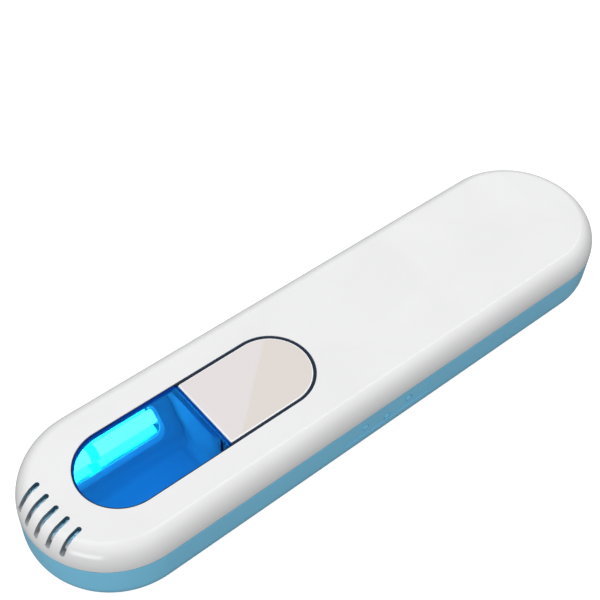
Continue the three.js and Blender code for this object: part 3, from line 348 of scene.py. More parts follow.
def noise(tree, place, scale, detail=2.0, distortion=0.0):
    sizes = [("Scale", scale), ("Detail", detail), ("Distortion", distortion)]
    return add_node(tree, "ShaderNodeTexNoise", [("Vector", place), *sizes]).outputs["Fac"]


def surface_group(name, *inputs):
    """An empty group with these inputs, for a surface's colour, roughness and height."""
    group = bpy.data.node_groups.new(name, "ShaderNodeTree")
    for socket, kind in inputs:
        group.interface.new_socket(socket, in_out="INPUT", socket_type="NodeSocket" + kind)
    for socket, kind in (("Colour", "Color"), ("Roughness", "Float"), ("Height", "Float")):
        group.interface.new_socket(socket, in_out="OUTPUT", socket_type="NodeSocket" + kind)
    return group, add_node(group, "NodeGroupInput").outputs


def surface_result(group, colour, shade, rough_parts, height):
    """Shades the colour, sums up the roughness and hands both out with the height."""
    tint = add_node(
        group, "ShaderNodeVectorMath", [(0, colour), ("Scale", shade)], operation="SCALE"
    )
    rough = add_node(
        group, "ShaderNodeMath", list(enumerate(rough_parts)), operation="MULTIPLY_ADD"
    )
    add_node(
        group,
        "NodeGroupOutput",
        [("Colour", tint.outputs[0]), ("Roughness", rough.outputs[0]), ("Height", height)],
    )
    return group


def moulded_group():
    """What every moulded surface shows: faint flow marks, uneven gloss and a fine texture."""
    group, given = surface_group(
        "moulded surface",
        ("Colour", "Color"),
        ("Gloss", "Float"),
        ("Uneven", "Float"),
        ("Grain", "Float"),
    )
    place = object_place(group)
    flow = noise(group, place, 38.0, 3.0, 0.6)
    fine = noise(group, place, given["Grain"], 2.0)
    specks = noise(group, place, 420.0, 1.0)
    shade = mapped(group, flow, 0.3, 0.7, 0.965, 1.0)
    spread = add_node(group, "ShaderNodeMath", [(0, specks), (1, 0.5)], operation="SUBTRACT")
    rough_parts = (spread.outputs[0], given["Uneven"], given["Gloss"])
    return surface_result(group, given["Colour"], shade, rough_parts, fine)


def surfaced(name, group, strength, depth, given):
    """A material whose colour, roughness and bump come from a surface group."""
    material, tree, shader = new_material(name)
    surface = add_node(tree, "ShaderNodeGroup", given.items(), node_tree=group)
    bump = add_node(
        tree,
        "ShaderNodeBump",
        [("Height", surface.outputs["Height"]), ("Strength", strength), ("Distance", depth)],
    )
    tree.links.new(surface.outputs["Colour"], shader.inputs["Base Color"])
    tree.links.new(surface.outputs["Roughness"], shader.inputs["Roughness"])
    tree.links.new(bump.outputs["Normal"], shader.inputs["Normal"])
    return material, tree, shader


moulded = moulded_group()


def plastic(name, colour, gloss, uneven=0.1, grain=900.0, depth=0.00001):
    """A moulded plastic with its own colour, gloss and texture."""
    given = {"Colour": (*colour, 1), "Gloss": gloss, "Uneven": uneven, "Grain": grain}
    return surfaced(name, moulded, 0.5, depth, given)


def tub_rings(depth, top):
    """The tub's skin at a depth under its outer face: flat bottom, round edge, drafted side."""
    radius = TUB_EDGE - depth
    steps = 14
    rings = []
    for i in range(steps + 1):
        turn = math.pi / 2 * i / steps
        z = depth + radius * (1 - math.cos(turn))
        draft = TUB_DRAFT * (1 - z / RIM)
        rings.append(capsule(depth + draft + radius * (1 - math.sin(turn)), z))
    return rings + [capsule(depth, z) for z in top]


def wall_zone(z0, z1):
    """The strip of the rear wall between two heights."""
    return block(-SIDE, SIDE, REAR - TUB_WALL, REAR, z0, z1)


def in_tub(made):
    """The share of a shape that lies inside half the wall of the tub."""
    return common(made, loft(tub_rings(HALF_WALL, [RIM])))


shell_blue, _, _ = plastic(
    "shell blue", (0.235, 0.69, 0.97), 0.24, uneven=0.05, grain=1600.0, depth=0.000002
)

base = loft(tub_rings(0, [17.8]) + [capsule(0.06, 17.94), capsule(0.2, RIM)])
rebate = cut(slab(1.1, 17.1, 20), wall_zone(16.2, 21))
button_place = block(
    -BUTTON_HALF - 0.02, BUTTON_HALF + 0.02, -30, -23.7, BUTTON_BOTTOM - 0.02, 20
)
base = cut(base, loft(tub_rings(TUB_WALL, [20])), rebate, button_place)
bead = common(rod_x(BARREL, -SIDE, SIDE, HINGE_Y, RIM), wall_zone(17.1, 20), slab(0, 17.1, 20))
base = join(base, bead)
for x in (-8, 31, 70):
    base = join(base, in_tub(block(x, x + 1.2, -REAR, REAR, HALF_WALL, 2.9)))
for x in HINGE_PLACES:
    left_knuckle = rod_x(BARREL, x - KNUCKLE_END, x - LUG_ROOM, HINGE_Y, RIM)
    right_knuckle = rod_x(BARREL, x + LUG_ROOM, x + KNUCKLE_END, HINGE_Y, RIM)
    base = join(base, left_knuckle, right_knuckle)
    base = cut(
        base,
        rod_x(BARREL + 0.3, x - LUG_ROOM, x + LUG_ROOM, HINGE_Y, RIM),
        block(x - LUG_ROOM, x + LUG_ROOM, HINGE_Y, REAR + 2, RIM, RIM + 4),
        rod_x(PIN_BORE, x - PIN_REACH, x + PIN_REACH, HINGE_Y, RIM),
    )
for x, y in SCREW_PLACES:
    base = join(base, in_tub(rod_z(3.2, x, y, 0, 6.6)))
    base = cut(base, rod_z(SCREW_BORE, x, y, -2, 8.6), rod_z(2.3, x, y, -2, 2.4))
finish_piece(base, "base_tub", shell_blue, "base", "base_shell")

# Liner tray: one white moulding dropped into the tub. Its flange lies on the rim, a lip stands up
# round it, and the head chamber, the neck passage and the handle bay are sunk in its deck.

DECK = 21.4
LIP_TOP = 22.3
ABOVE = 24.3
TRAY_WALL = 1.4
WELL_TOP = DECK - TRAY_WALL / 2
HOLLOW_RADIUS = 22.7
BAY_LEFT = -37
BAY_FLOOR = 4.5
CHAMBER_RIGHT = -51
CHAMBER_FLOOR = 5.5
LEDGE = -8.5
REST_TOP = 18.5
NECK_FLOOR = 9
CELL_Y, CELL_Z = 16.8, 9.9
WELL_RADIUS = 5.55
WELL_LEFT, WELL_RIGHT, WELL_END = -15.1, 75.6, 80
INTERLOCK = (-18.8, 22.9)
LAMP_PLACE = Matrix.Translation(Vector((0, 14.8, 13.8))) @ Matrix.Rotation(math.pi / 4, 4, "X")


def bay_ring(front, rear, left, sink, z):
    """The bay's outline; sink runs from 0 at the deck to 1 on the floor."""
    radius = HOLLOW_RADIUS - front
    end = math.radians(62 - 28 * sink)
    points = [(left, -radius, z)]
    for i in range(ARC + 1):
        turn = (end + math.pi / 2) * i / ARC - math.pi / 2
        points.append((END + radius * math.cos(turn), radius * math.sin(turn), z))
    steer = [points[-1][:2]]
    steer += [(END + 6, 9.6 - rear), (END - 16.5, 8.2 - rear), (END - 37.5, 8 - rear)]
    sweep_steps = 28
    for i in range(1, sweep_steps + 1):
        t = i / sweep_steps
        share = ((1 - t) ** 3, 3 * t * (1 - t) ** 2, 3 * t * t * (1 - t), t**3)
        x = sum(w * place[0] for w, place in zip(share, steer))
        y = sum(w * place[1] for w, place in zip(share, steer))
        points.append((x, y, z))
    points.append((left, 8 - rear, z))
    return points


def floor_curve(floor, depth, radius):
    """Heights and insets of the round between a hollow's floor and its side."""
    steps = 10
    for i in range(steps + 1):
        turn = math.pi / 2 * i / steps
        yield floor - depth + radius * (1 - math.cos(turn)), radius * (1 - math.sin(turn))


def deck_curve(edge, steps):
    """Heights and setbacks of a hollow's eased edge at the deck."""
    for i in range(steps + 1):
        turn = math.pi / 2 * i / steps
        yield DECK - edge + edge * math.sin(turn), edge * (1 - math.cos(turn))


def bay_form(depth, left, top, edge=0.0):
    """The bay at a skin's depth outside its face, its rear edge eased at the deck."""
    rings = []

    def add(z, extra, ease=0.0):
        sink = min(max((DECK - z) / (DECK - BAY_FLOOR), 0), 1)
        front = sink + extra - depth
        rear = 4.5 * sink + extra - depth - ease
        rings.append(bay_ring(front, rear, left - depth, sink, z))

    for z, inset in floor_curve(BAY_FLOOR, depth, 5 + depth):
        add(z, inset)
    if edge:
        for z, ease in deck_curve(edge, 5):
            add(z, 0, ease)
    else:
        add(WELL_TOP, 0)
    add(top, 0, edge)
    return loft(rings)


def lamp_side(depth):
    """Everything behind the sloped wall's face, moved back by a skin's depth."""
    step = depth * math.sqrt(0.5)
    corners = ((0.8, 3.6), (34.4, 3.6), (34.4, 33.4), (8.4, 7.4))
    return bar([(y + step, z - step) for y, z in corners], -SIDE, CHAMBER_RIGHT + depth + 2)


def chamber_form(depth, top, edge=0.0):
    """The head chamber at a skin's depth outside its face, less the sloped wall of the lamp."""
    rings = []

    def add(z, extra, ease=0.0):
        sink = min(max((DECK - z) / (DECK - CHAMBER_FLOOR), 0), 1)
        arc = HOLLOW_RADIUS - 0.8 * sink - extra + depth
        right = CHAMBER_RIGHT - extra + depth + ease
        points = [(right, -arc, z), (right, arc, z)]
        for i in range(ARC + 1):
            turn = math.pi * (0.5 + i / ARC)
            points.append((-END + arc * math.cos(turn), arc * math.sin(turn), z))
        rings.append(points)

    for z, inset in floor_curve(CHAMBER_FLOOR, depth, 4 + depth):
        add(z, inset)
    if edge:
        for z, ease in deck_curve(edge, 4):
            add(z, 0, ease)
    add(top, 0, edge)
    return cut(loft(rings), lamp_side(depth))


def rounded_ring(x0, x1, y0, y1, z, corner):
    centres = (
        (x1 - corner, y0 + corner),
        (x1 - corner, y1 - corner),
        (x0 + corner, y1 - corner),
        (x0 + corner, y0 + corner),
    )
    steps = 8
    points = []
    for quarter, (x, y) in enumerate(centres):
        for i in range(steps + 1):
            turn = math.pi / 2 * (quarter - 1 + i / steps)
            points.append((x + corner * math.cos(turn), y + corner * math.sin(turn), z))
    return points


def in_wall(made):
    """Puts a shape made in the sloped wall's own frame into place."""
    made.data.transform(LAMP_PLACE)
    return made


def lamp_aperture():
    """The opening in the sloped wall; its edge is flared, most of all below the tube."""
    rings = []
    for grow, z in ((0, -3.4), (0, -1.15), (0.08, -0.95), (0.8, -0.08), (0.95, 0), (0.95, 2)):
        low, high = -5.2 - 1.9 * grow, 4.85 + grow
        rings.append(rounded_ring(-92.6 - grow, -56.9 + grow, low, high, z, 3.2 + grow))
    return in_wall(loft(rings))


def well_form(depth, top):
    """The trough under the deck for the two cells and their spring."""
    radius = WELL_RADIUS + depth
    half = 3.9 + depth
    left, right, end = WELL_LEFT - depth, WELL_RIGHT + depth, WELL_END + depth
    return join(
        rod_x(radius, left, right, CELL_Y, CELL_Z),
        block(left, right, CELL_Y - radius, CELL_Y + radius, CELL_Z, top),
        block(right - 2, end, CELL_Y - half, CELL_Y + half, CELL_Z - half, top),
    )


def latch_ramp(side):
    """What the lip and the deck lose on the way down to the latch."""
    near, far = side * BUTTON_HALF, side * 31
    ends = [(far, LIP_TOP), (far, ABOVE), (near, ABOVE), (near, 20)]
    if side > 0:
        ends.reverse()
    points = [(x, y, z) for y in (-27.5, -22.7) for x, z in ends]
    faces = [(3, 2, 1, 0), (4, 5, 6, 7)]
    faces += [(i, (i + 1) % 4, (i + 1) % 4 + 4, i + 4) for i in range(4)]
    return to_object("ramp", points, faces)


liner_white, _, _ = plastic("liner white", (0.8, 0.82, 0.84), 0.24, uneven=0.12, grain=1100.0)

lip_outside = (
    (2.2, 17.1),
    (2.2, 18.05),
    (2.97, 21.6),
    (3.06, 21.95),
    (3.22, 22.18),
    (3.46, LIP_TOP),
)
lip_inside = ((4.8, DECK), (4.8, 21.85), (4.72, 22.08), (4.55, 22.24), (4.3, LIP_TOP), (4.3, 25))
tray = loft([capsule(inset, z) for inset, z in lip_outside])
over_deck = loft([capsule(inset, z) for inset, z in lip_inside])
tray = cut(tray, slab(4.8, 15, DECK - TRAY_WALL), over_deck)
flange = cut(slab(1.4, 17.2, RIM), slab(4.8, 15, 20))
bay_skin = bay_form(TRAY_WALL, BAY_LEFT, WELL_TOP)
chamber_skin = chamber_form(TRAY_WALL, WELL_TOP)
tray = join(tray, flange, bay_skin, chamber_skin)
tray = join(tray, well_form(1.2, WELL_TOP))
for (x, y), top in zip(SCREW_PLACES, (WELL_TOP, WELL_TOP, 13.8)):
    tray = join(tray, rod_z(2.4, x, y, 6.9, top))
for x in HINGE_PLACES:
    tray = join(tray, block(x - 8, x + 8, 22.4, 25.1, 14.7, DECK))

passage_skin = block(CHAMBER_RIGHT, BAY_LEFT, -24.1, LEDGE + TRAY_WALL, 7.6, REST_TOP)
chamber_end = block(CHAMBER_RIGHT, CHAMBER_RIGHT + TRAY_WALL, LEDGE, -5, NECK_FLOOR, DECK)
bay_end = block(BAY_LEFT - TRAY_WALL, BAY_LEFT, LEDGE, 8, BAY_FLOOR, WELL_TOP)
rest_block = block(CHAMBER_RIGHT, BAY_LEFT, LEDGE, -3.6, 17.1, DECK)
tray = join(tray, passage_skin, chamber_end, bay_end, rest_block)
tray = cut(
    tray,
    bay_form(0, BAY_LEFT, ABOVE, edge=0.7),
    chamber_form(0, ABOVE, edge=0.4),
    well_form(0, 20.6),
    block(WELL_LEFT, WELL_RIGHT, 11.25, 22.1, 20, 21.6),
)
outer_corner = cut(
    block(CHAMBER_RIGHT - 2, CHAMBER_RIGHT + 4, LEDGE - 2, LEDGE + 4, NECK_FLOOR, ABOVE),
    rod_z(4, CHAMBER_RIGHT + 4, LEDGE + 4, NECK_FLOOR, ABOVE, sides=96),
)
slit_right = CHAMBER_RIGHT + 2.6
neck_way = block(CHAMBER_RIGHT - 2, BAY_LEFT + 2, -HOLLOW_RADIUS, LEDGE, NECK_FLOOR, ABOVE)
rest_step = block(slit_right, BAY_LEFT + 2, LEDGE - 2, -5, REST_TOP, ABOVE)
rest_slit = block(CHAMBER_RIGHT + TRAY_WALL, slit_right, LEDGE - 2, -5, 10.4, ABOVE)
tray = cut(tray, neck_way, outer_corner, rest_step, rest_slit)
neck_tab = block(CHAMBER_RIGHT - 0.5, BAY_LEFT - 1, -23.4, -19.5, 20.6, 22)
tray = join(tray, neck_tab)
latch_notch = block(-BUTTON_HALF - 0.3, BUTTON_HALF + 0.3, -27.5, -20, 16.2, ABOVE)
tray = cut(
    tray,
    lamp_aperture(),
    latch_notch,
    wall_zone(15, 20),
    block(-SIDE, SIDE, HINGE_Y, REAR, 15, 20),
    rod_z(1.2, *INTERLOCK, 15, ABOVE),
    latch_ramp(-1),
    latch_ramp(1),
)
for x in HINGE_PLACES:
    tray = cut(tray, block(x - 6.8, x + 6.8, 23.1, 29.5, 15.7, ABOVE))
for x, y in SCREW_PLACES:
    tray = cut(tray, rod_z(SCREW_BORE, x, y, 4, 11.6))
finish_piece(tray, "liner", liner_white, "base", "liner_tray")

# Battery cover: a low white panel over the cells, held by a frame that plugs into their well.
# It follows the rear edge of the handle bay, and its rim is eased all round.

COVER_LEFT = -32
COVER_REAR = 22.25
COVER_FRONT = 8.9
COVER_CORNER = 2.5


def cover_ring(inset, z):
    left = COVER_LEFT + inset
    rear = COVER_REAR - inset
    front = COVER_FRONT + inset
    edge = bay_ring(0, -(0.9 + inset), left + COVER_CORNER, 0, z)

    def corner(middle_y, turn):
        x = left + COVER_CORNER + COVER_CORNER * math.cos(turn)
        return x, middle_y + COVER_CORNER * math.sin(turn), z

    points = [corner(front + COVER_CORNER, math.pi * (1 + i / 16)) for i in range(9)]
    points += reversed(edge[ARC + 4 : -1])
    for i in range(13):
        turn = math.radians(66 + 24 * i / 12)
        points.append((END + rear * math.cos(turn), rear * math.sin(turn), z))
    points += [corner(rear - COVER_CORNER, math.pi / 2 * (1 + i / 8)) for i in range(9)]
    return points


cover_edge = ((0.1, 21.42), (0, 21.5), (0, 21.8), (0.1, 21.98), (0.3, 22.1))
cover = loft([cover_ring(inset, z) for inset, z in cover_edge])
plug = cut(
    block(-14.8, 75.3, 11.55, 21.8, 20, 21.6), block(-13.6, 74.1, 12.75, 20.6, 19, 21.45)
)
cover = cut(join(cover, plug), rod_z(1.5, *INTERLOCK, 18, 24))
finish_piece(cover, "cell_cover", liner_white, "base", "battery_cover")

# Two cells in line, with a contact plate at each end and a coil spring on the minus plate.
# Steel cans in a printed sleeve, dark green with one pale band, and bare steel at the ends.

CELL_LENGTH = 44.5
CELL_RIGHT = {"cell_left": 30.5, "cell_right": 75.3}


def dress(material, *names):
    for name in names:
        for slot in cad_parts[name].material_slots:
            slot.material = material


def metal_group():
    """Drawn metal: fine lines along one direction, and uneven gloss."""
    group, given = surface_group(
        "drawn metal", ("Colour", "Color"), ("Gloss", "Float"), ("Stretch", "Vector")
    )
    place = object_place(group)
    along = add_node(
        group, "ShaderNodeVectorMath", [(0, place), (1, given["Stretch"])], operation="MULTIPLY"
    )
    lines = noise(group, along.outputs[0], 1.0, 3.0)
    stains = noise(group, place, 160.0)
    shade = mapped(group, lines, 0.0, 1.0, 0.82, 1.12)
    return surface_result(group, given["Colour"], shade, (stains, 0.18, given["Gloss"]), lines)


drawn = metal_group()


def metal(name, colour, gloss, stretch=(900, 9000, 9000)):
    given = {"Colour": (*colour, 1), "Gloss": gloss, "Stretch": stretch}
    material, _, shader = surfaced(name, drawn, 0.3, 0.00001, given)
    shader.inputs["Metallic"].default_value = 1
    return material


bright_steel = metal("bright steel", (0.62, 0.63, 0.65), 0.18)
dress(bright_steel, "plus_contact", "minus_contact", "cell_spring")


def cell_finish(name, right):
    """A green sleeve with one pale band; the nub and the rim at each end are bare steel."""
    steel, pale, green = (0.62, 0.63, 0.65), (0.66, 0.6, 0.42), (0.03, 0.14, 0.07)
    left_rim, band_end, right_rim = 0.035, 0.24, 0.975
    material, tree, shader = plastic(name, green, 0.22)
    along = axis_of(tree, object_place(tree), "X")
    share = mapped(tree, along, (right - CELL_LENGTH) / 1000, right / 1000)
    bands = ramp(
        tree,
        share,
        (0.0, steel),
        (left_rim, pale),
        (band_end, green),
        (right_rim, steel),
        blend="CONSTANT",
    )
    bare = ramp(
        tree,
        share,
        (0.0, (1, 1, 1)),
        (left_rim, (0, 0, 0)),
        (right_rim, (1, 1, 1)),
        blend="CONSTANT",
    )
    tree.links.new(bands, shader.inputs["Base Color"])
    tree.links.new(bare, shader.inputs["Metallic"])
    return material


for name, right in CELL_RIGHT.items():
    dress(cell_finish(name + " sleeve", right), name)

# Circuit board with the lamp's driver: a step-up transformer, two capacitors and one chip.
# Green solder mask over copper tracks; the board is held on two posts by small screws.

mask_green, tree, shader = plastic(
    "solder mask", (0.02, 0.13, 0.05), 0.3, uneven=0.2, grain=2500.0
)
tracks = add_node(
    tree,
    "ShaderNodeTexBrick",
    [
        ("Vector", object_place(tree)),
        ("Color1", (0.02, 0.13, 0.05, 1)),
        ("Color2", (0.025, 0.15, 0.06, 1)),
        ("Mortar", (0.06, 0.3, 0.12, 1)),
        ("Scale", 260.0),
        ("Mortar Size", 0.07),
        ("Brick Width", 1.1),
        ("Row Height", 0.4),
    ],
    offset=0.37,
)
tree.links.new(tracks.outputs["Color"], shader.inputs["Base Color"])
ferrite, _, _ = plastic(
    "ferrite and tape", (0.035, 0.03, 0.027), 0.5, uneven=0.3, grain=3000.0, depth=0.00004
)
sleeve_blue, _, _ = plastic("capacitor sleeve", (0.012, 0.03, 0.09), 0.25)
part_black, _, _ = plastic(
    "black moulding", (0.012, 0.012, 0.013), 0.42, uneven=0.2, grain=2600.0, depth=0.00002
)
dress(mask_green, "circuit_board")
dress(ferrite, "lamp_transformer")
dress(sleeve_blue, "capacitor_left", "capacitor_right")
dress(part_black, "driver_chip", "interlock_switch", "interlock_plunger")

# Fixings: three case screws from below, two board screws, and the two hinge pins.
# All bright steel; the screws have a turned pan head with a cross slot.

turned_steel = metal("turned steel", (0.58, 0.59, 0.61), 0.2, stretch=(2500, 2500, 400))
pin_steel = metal("pin steel", (0.6, 0.61, 0.63), 0.16, stretch=(400, 6000, 6000))
dress(turned_steel, "case_screw_1", "case_screw_2", "case_screw_3")
dress(turned_steel, "board_screw_1", "board_screw_2")
dress(pin_steel, "hinge_pin_left", "hinge_pin_right")

# Lamp: a glass tube in a polished trough behind the opening in the chamber's sloped wall.
# A dark cap on a foot holds each end of the tube, and one pale clip steadies it.
# The trough's cyan tint and the glow of the caps and the clip are painted light from the tube.

TUBE_X = (-91.9, -55.7)
TUBE_DEPTH = -4.7
TUBE_RADIUS = 2.25
HOLDER_RADIUS = 2.95
HOLDER_BORE = 2.5
FOOT_HALF = 1.4
FOOT_BOTTOM = -7.8
TROUGH_RIM = -1.7


def trough(half, depth, x0, x1):
    steps = 40
    turns = [math.pi * (1 + i / steps) for i in range(steps + 1)]
    return bar([(half * math.cos(t), TROUGH_RIM + depth * math.sin(t)) for t in turns], x0, x1)


def holder(x0, x1, bore0, bore1):
    """A ring round the tube on a foot that stands in the trough."""
    ring = rod_x(HOLDER_RADIUS, x0, x1, 0, TUBE_DEPTH, sides=64)
    foot = block(x0, x1, -FOOT_HALF, FOOT_HALF, FOOT_BOTTOM, TUBE_DEPTH)
    bore = rod_x(HOLDER_BORE, bore0, bore1, 0, TUBE_DEPTH, sides=64)
    return in_wall(cut(join(ring, foot), bore))


def lit(shader, colour, strength):
    shader.inputs["Emission Color"].default_value = (*colour, 1)
    shader.inputs["Emission Strength"].default_value = strength


# The trough's cyan tint is painted light: it stands in for the tube's glow shining in the polished
# metal.
reflector_painted_cyan = metal("polished trough", (0.36, 0.86, 0.92), 0.1, stretch=(300, 7000, 7000))
reflector_room = join(
    trough(5.6, 6.4, -93.2, -54.6), block(-93.2, -54.6, -5.6, 5.6, TROUGH_RIM - 0.05, 0.3)
)
reflector = in_wall(cut(trough(6.2, 7, -93.8, -54), reflector_room))
finish_piece(
    reflector, "lamp_trough", reflector_painted_cyan, "base", "lamp_reflector"
)

glow, tree, shader = new_material("lit tube")
lit(shader, (0.8, 1.0, 1.0), 8.5)
shader.inputs["Coat Weight"].default_value = 0.6
film = noise(tree, object_place(tree), 300.0)
tint = ramp(tree, film, (0, (0.45, 0.75, 0.8)), (1, (0.6, 0.85, 0.88)))
tree.links.new(tint, shader.inputs["Base Color"])
tree.links.new(mapped(tree, film, 0.0, 1.0, 0.1, 0.3), shader.inputs["Roughness"])
ends = [(0.7, 0), (0.2, 0.3), (0.05, 0.7), (0, 1.2)]
rings = [(i, TUBE_X[0] + a) for i, a in ends] + [(i, TUBE_X[1] - a) for i, a in reversed(ends)]
tube = loft([[(u, v, x) for u, v in circle(TUBE_RADIUS - i, sides=64)] for i, x in rings])
tube.data.transform(
    Matrix.Translation(Vector((0, 0, TUBE_DEPTH))) @ Matrix.Rotation(math.pi / 2, 4, "Y")
)
finish_piece(in_wall(tube), "lamp_glass_tube", glow, "base", "lamp_tube")

cap_painted_glow, _, shader = plastic(
    "cap rubber, painted glow", (0.02, 0.05, 0.06), 0.5, uneven=0.25, grain=2200.0, depth=0.00003
)
# The caps' faint teal glow is painted light from the tube; the caps are no lamp.
lit(shader, (0.05, 0.6, 0.75), 0.8)
for name, outer, side in (("left", -92.6, 1), ("right", -55.0, -1)):
    inner = outer + side * 1.5
    bore = sorted((outer + side * 0.6, inner + side * 2))
    cap = holder(*sorted((outer, inner)), *bore)
    node = "lamp_cap_" + name
    finish_piece(cap, "tube_cap_" + name, cap_painted_glow, "base", node, bevel=0.15)

clip_painted_glow, _, shader = plastic(
    "clip nylon, painted glow", (0.62, 0.66, 0.66), 0.35, uneven=0.15, grain=1500.0
)
# The clip's cyan glow is painted light from the tube; the clip is no lamp.
lit(shader, (0.12, 0.85, 1.0), 3.2)
clip = holder(-80.5, -77.5, -84, -74)
finish_piece(clip, "tube_clip", clip_painted_glow, "base", "lamp_clip", bevel=0.2)

# Latch: a blue button flush with the front wall, with three small pips for the fingertip.
# A white catch bar stands on it over the slot for the lid's hook, and a leaf spring is behind.

SHELF = 16.6
SHELF_FRONT = -26.07
SHELF_REAR = -21.5
PIP_PLACES = ((-9, 13.1), (0, 11.45), (9, 13.3))
PIP_RADIUS = 0.95
PIP_RISE = 0.21
DISH_RADIUS = 1.35
DISH_DEPTH = 0.3
CATCH_FRONT = -22.9
CATCH_REAR = -21.6
CATCH_HALF = 8.5
LEG_INSIDE = 7.6
LEAF_BOW = 1.1
LEAF_THICKNESS = 0.25
LEAF_STEPS = 24


def button_face(z):
    return -27.33 + TUB_DRAFT * (1 - z / RIM)


button_profile = [
    (button_face(BUTTON_BOTTOM) + 0.15, BUTTON_BOTTOM),
    (SHELF_FRONT, BUTTON_BOTTOM),
    (SHELF_FRONT, SHELF),
    (SHELF_REAR, SHELF),
    (SHELF_REAR, RIM),
    (-27.18, RIM),
    (-27.29, 17.95),
    (button_face(17.8), 17.8),
    (button_face(9.95), 9.95),
]
button = bar(button_profile, -BUTTON_HALF, BUTTON_HALF)
button = cut(button, block(-7.6, 7.6, -26, CATCH_FRONT, 14.6, 20))
for side in (-1, 1):
    x0, x1 = sorted((side * (CATCH_HALF + 0.15), side * (LEG_INSIDE - 0.15)))
    leg_pocket = block(x0, x1, CATCH_FRONT - 0.15, CATCH_REAR + 0.15, 16.85, 18.65)
    button = cut(button, leg_pocket)
for x, z in PIP_PLACES:
    rings = [[(u, v, -0.4) for u, v in circle(PIP_RADIUS)]]
    for i in range(8):
        turn = math.pi / 2 * i / 8
        outline = circle(PIP_RADIUS * math.cos(turn))
        rings.append([(u, v, PIP_RISE * math.sin(turn)) for u, v in outline])
    pip = loft(rings)
    dish = prism(circle(DISH_RADIUS), -DISH_DEPTH, 1)
    facing = Matrix.Rotation(math.pi / 2, 4, "X")
    for made in (pip, dish):
        made.data.transform(Matrix.Translation(Vector((x, button_face(z), z))) @ facing)
    button = join(cut(button, dish), pip)
finish_piece(button, "front_button", shell_blue, "latch", "latch_button")

lid_white, _, _ = plastic(
    "lid white", (0.82, 0.82, 0.825), 0.13, uneven=0.06, grain=700.0, depth=0.000006
)
catch = block(-CATCH_HALF, CATCH_HALF, CATCH_FRONT, CATCH_REAR, 18.5, 19.8)
for side in (-1, 1):
    x0, x1 = sorted((side * CATCH_HALF, side * LEG_INSIDE))
    catch = join(catch, block(x0, x1, CATCH_FRONT, CATCH_REAR, 17, 18.6))
finish_piece(catch, "catch_bar", lid_white, "latch", "latch_catch", bevel=0.25)

leaf_low, leaf_high = (1000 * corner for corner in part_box("latch_spring"))
leaf_front, leaf_back = [], []
for step in range(LEAF_STEPS + 1):
    share = step / LEAF_STEPS
    x = leaf_low.x + share * (leaf_high.x - leaf_low.x)
    y = leaf_low.y + LEAF_BOW * math.sin(math.pi * share)
    leaf_front.append((x, y))
    leaf_back.insert(0, (x, y + LEAF_THICKNESS))
leaf = prism(leaf_front + leaf_back, leaf_low.z, leaf_high.z)
finish_piece(leaf, "latch_leaf", bright_steel, "latch", "latch_spring")
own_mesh(leaf)

# Lid: the glossy white upper shell with a wide rounded shoulder and five vent slots.
# Two lugs at the rear turn on the hinge pins, and a hook in front snaps under the catch bar.

SHOULDER = 5.7
CEILING = 24
LID_WALL = 1.6
LUG_HALF = 3
PEG_RADIUS = 0.65
VENT_STARTS = (-99.7, -100.4, -100.9, -101.0, -101.0)
VENT_PITCH = 4.8
VENT_TURN = 13
VENT_RADIUS = 0.8
VENT_LENGTH = 12
VENT_FLOOR = 22.4
WINDOW = {"length": 82.4, "width": 28.2, "middle": -52.0}
WINDOW_DIVIDE = -50
OPENING_INSET = 0.8


def shoulder_rings(wall, run, bottom, top, steps, crown=0.0):
    """The curve of the shoulder; a crown stops it short of level, which leaves a faint crease."""
    rise = top + crown - bottom
    last = math.asin((top - bottom) / rise)
    rings = []
    for i in range(1, steps + 1):
        turn = last * i / steps
        inset = wall + run * (1 - math.cos(turn)) / (1 - math.cos(last))
        rings.append(capsule(inset, bottom + rise * math.sin(turn)))
    return rings


def window_opening(z0):
    """The way through the lid under the pane, from a height up."""
    return common(
        slab(OPENING_INSET, z0, CASE_TOP, **WINDOW),
        block(-140, WINDOW_DIVIDE - 0.5, -30, 30, z0, CASE_TOP),
    )


skin = loft(
    [capsule(0.22, SEAM), capsule(0.06, SEAM + 0.07), capsule(0, SEAM + 0.25)]
    + shoulder_rings(0, SHOULDER - 0.6, SEAM, CASE_TOP - 0.03, 26, crown=0.1)
    + [capsule(SHOULDER - 0.3, CASE_TOP)]
)
hollow = loft(
    [capsule(1.45, SEAM - 2), capsule(1.45, SEAM), capsule(LID_WALL, SEAM + 0.2)]
    + shoulder_rings(LID_WALL, SHOULDER - LID_WALL, SEAM, CEILING, 16)
)
ceiling_rib = cut(slab(8, 23.5, 25), slab(9, 21, 27))
lid = join(cut(skin, hollow), ceiling_rib)
hook_profile = [
    (-24.35, 16.7),
    (-23.65, 16.7),
    (-23.2, 17.5),
    (-23.2, 17.8),
    (-23.55, 17.85),
    (-23.55, 25),
    (-24.55, 25),
    (-24.55, 16.9),
]
lid = join(lid, bar(hook_profile, -6, 6), rod_z(PEG_RADIUS, *INTERLOCK, 22.15, 25))
bead_room = rod_x(BARREL + 0.3, -SIDE, SIDE, HINGE_Y, RIM)
lid = cut(lid, bead_room, block(-SIDE, SIDE, HINGE_Y, 29.5, 16, 20.7))
for x in HINGE_PLACES:
    low_arm = block(x - LUG_HALF, x + LUG_HALF, 23.4, HINGE_Y, 18, 20.7)
    arm = common(
        block(x - LUG_HALF, x + LUG_HALF, 23.4, 25.1, 18, CEILING),
        join(slab(1, 18, CEILING), low_arm),
    )
    lid = join(lid, rod_x(BARREL, x - LUG_HALF, x + LUG_HALF, HINGE_Y, RIM), arm)
    lid = cut(lid, rod_x(PIN_BORE, x - 5, x + 5, HINGE_Y, RIM))

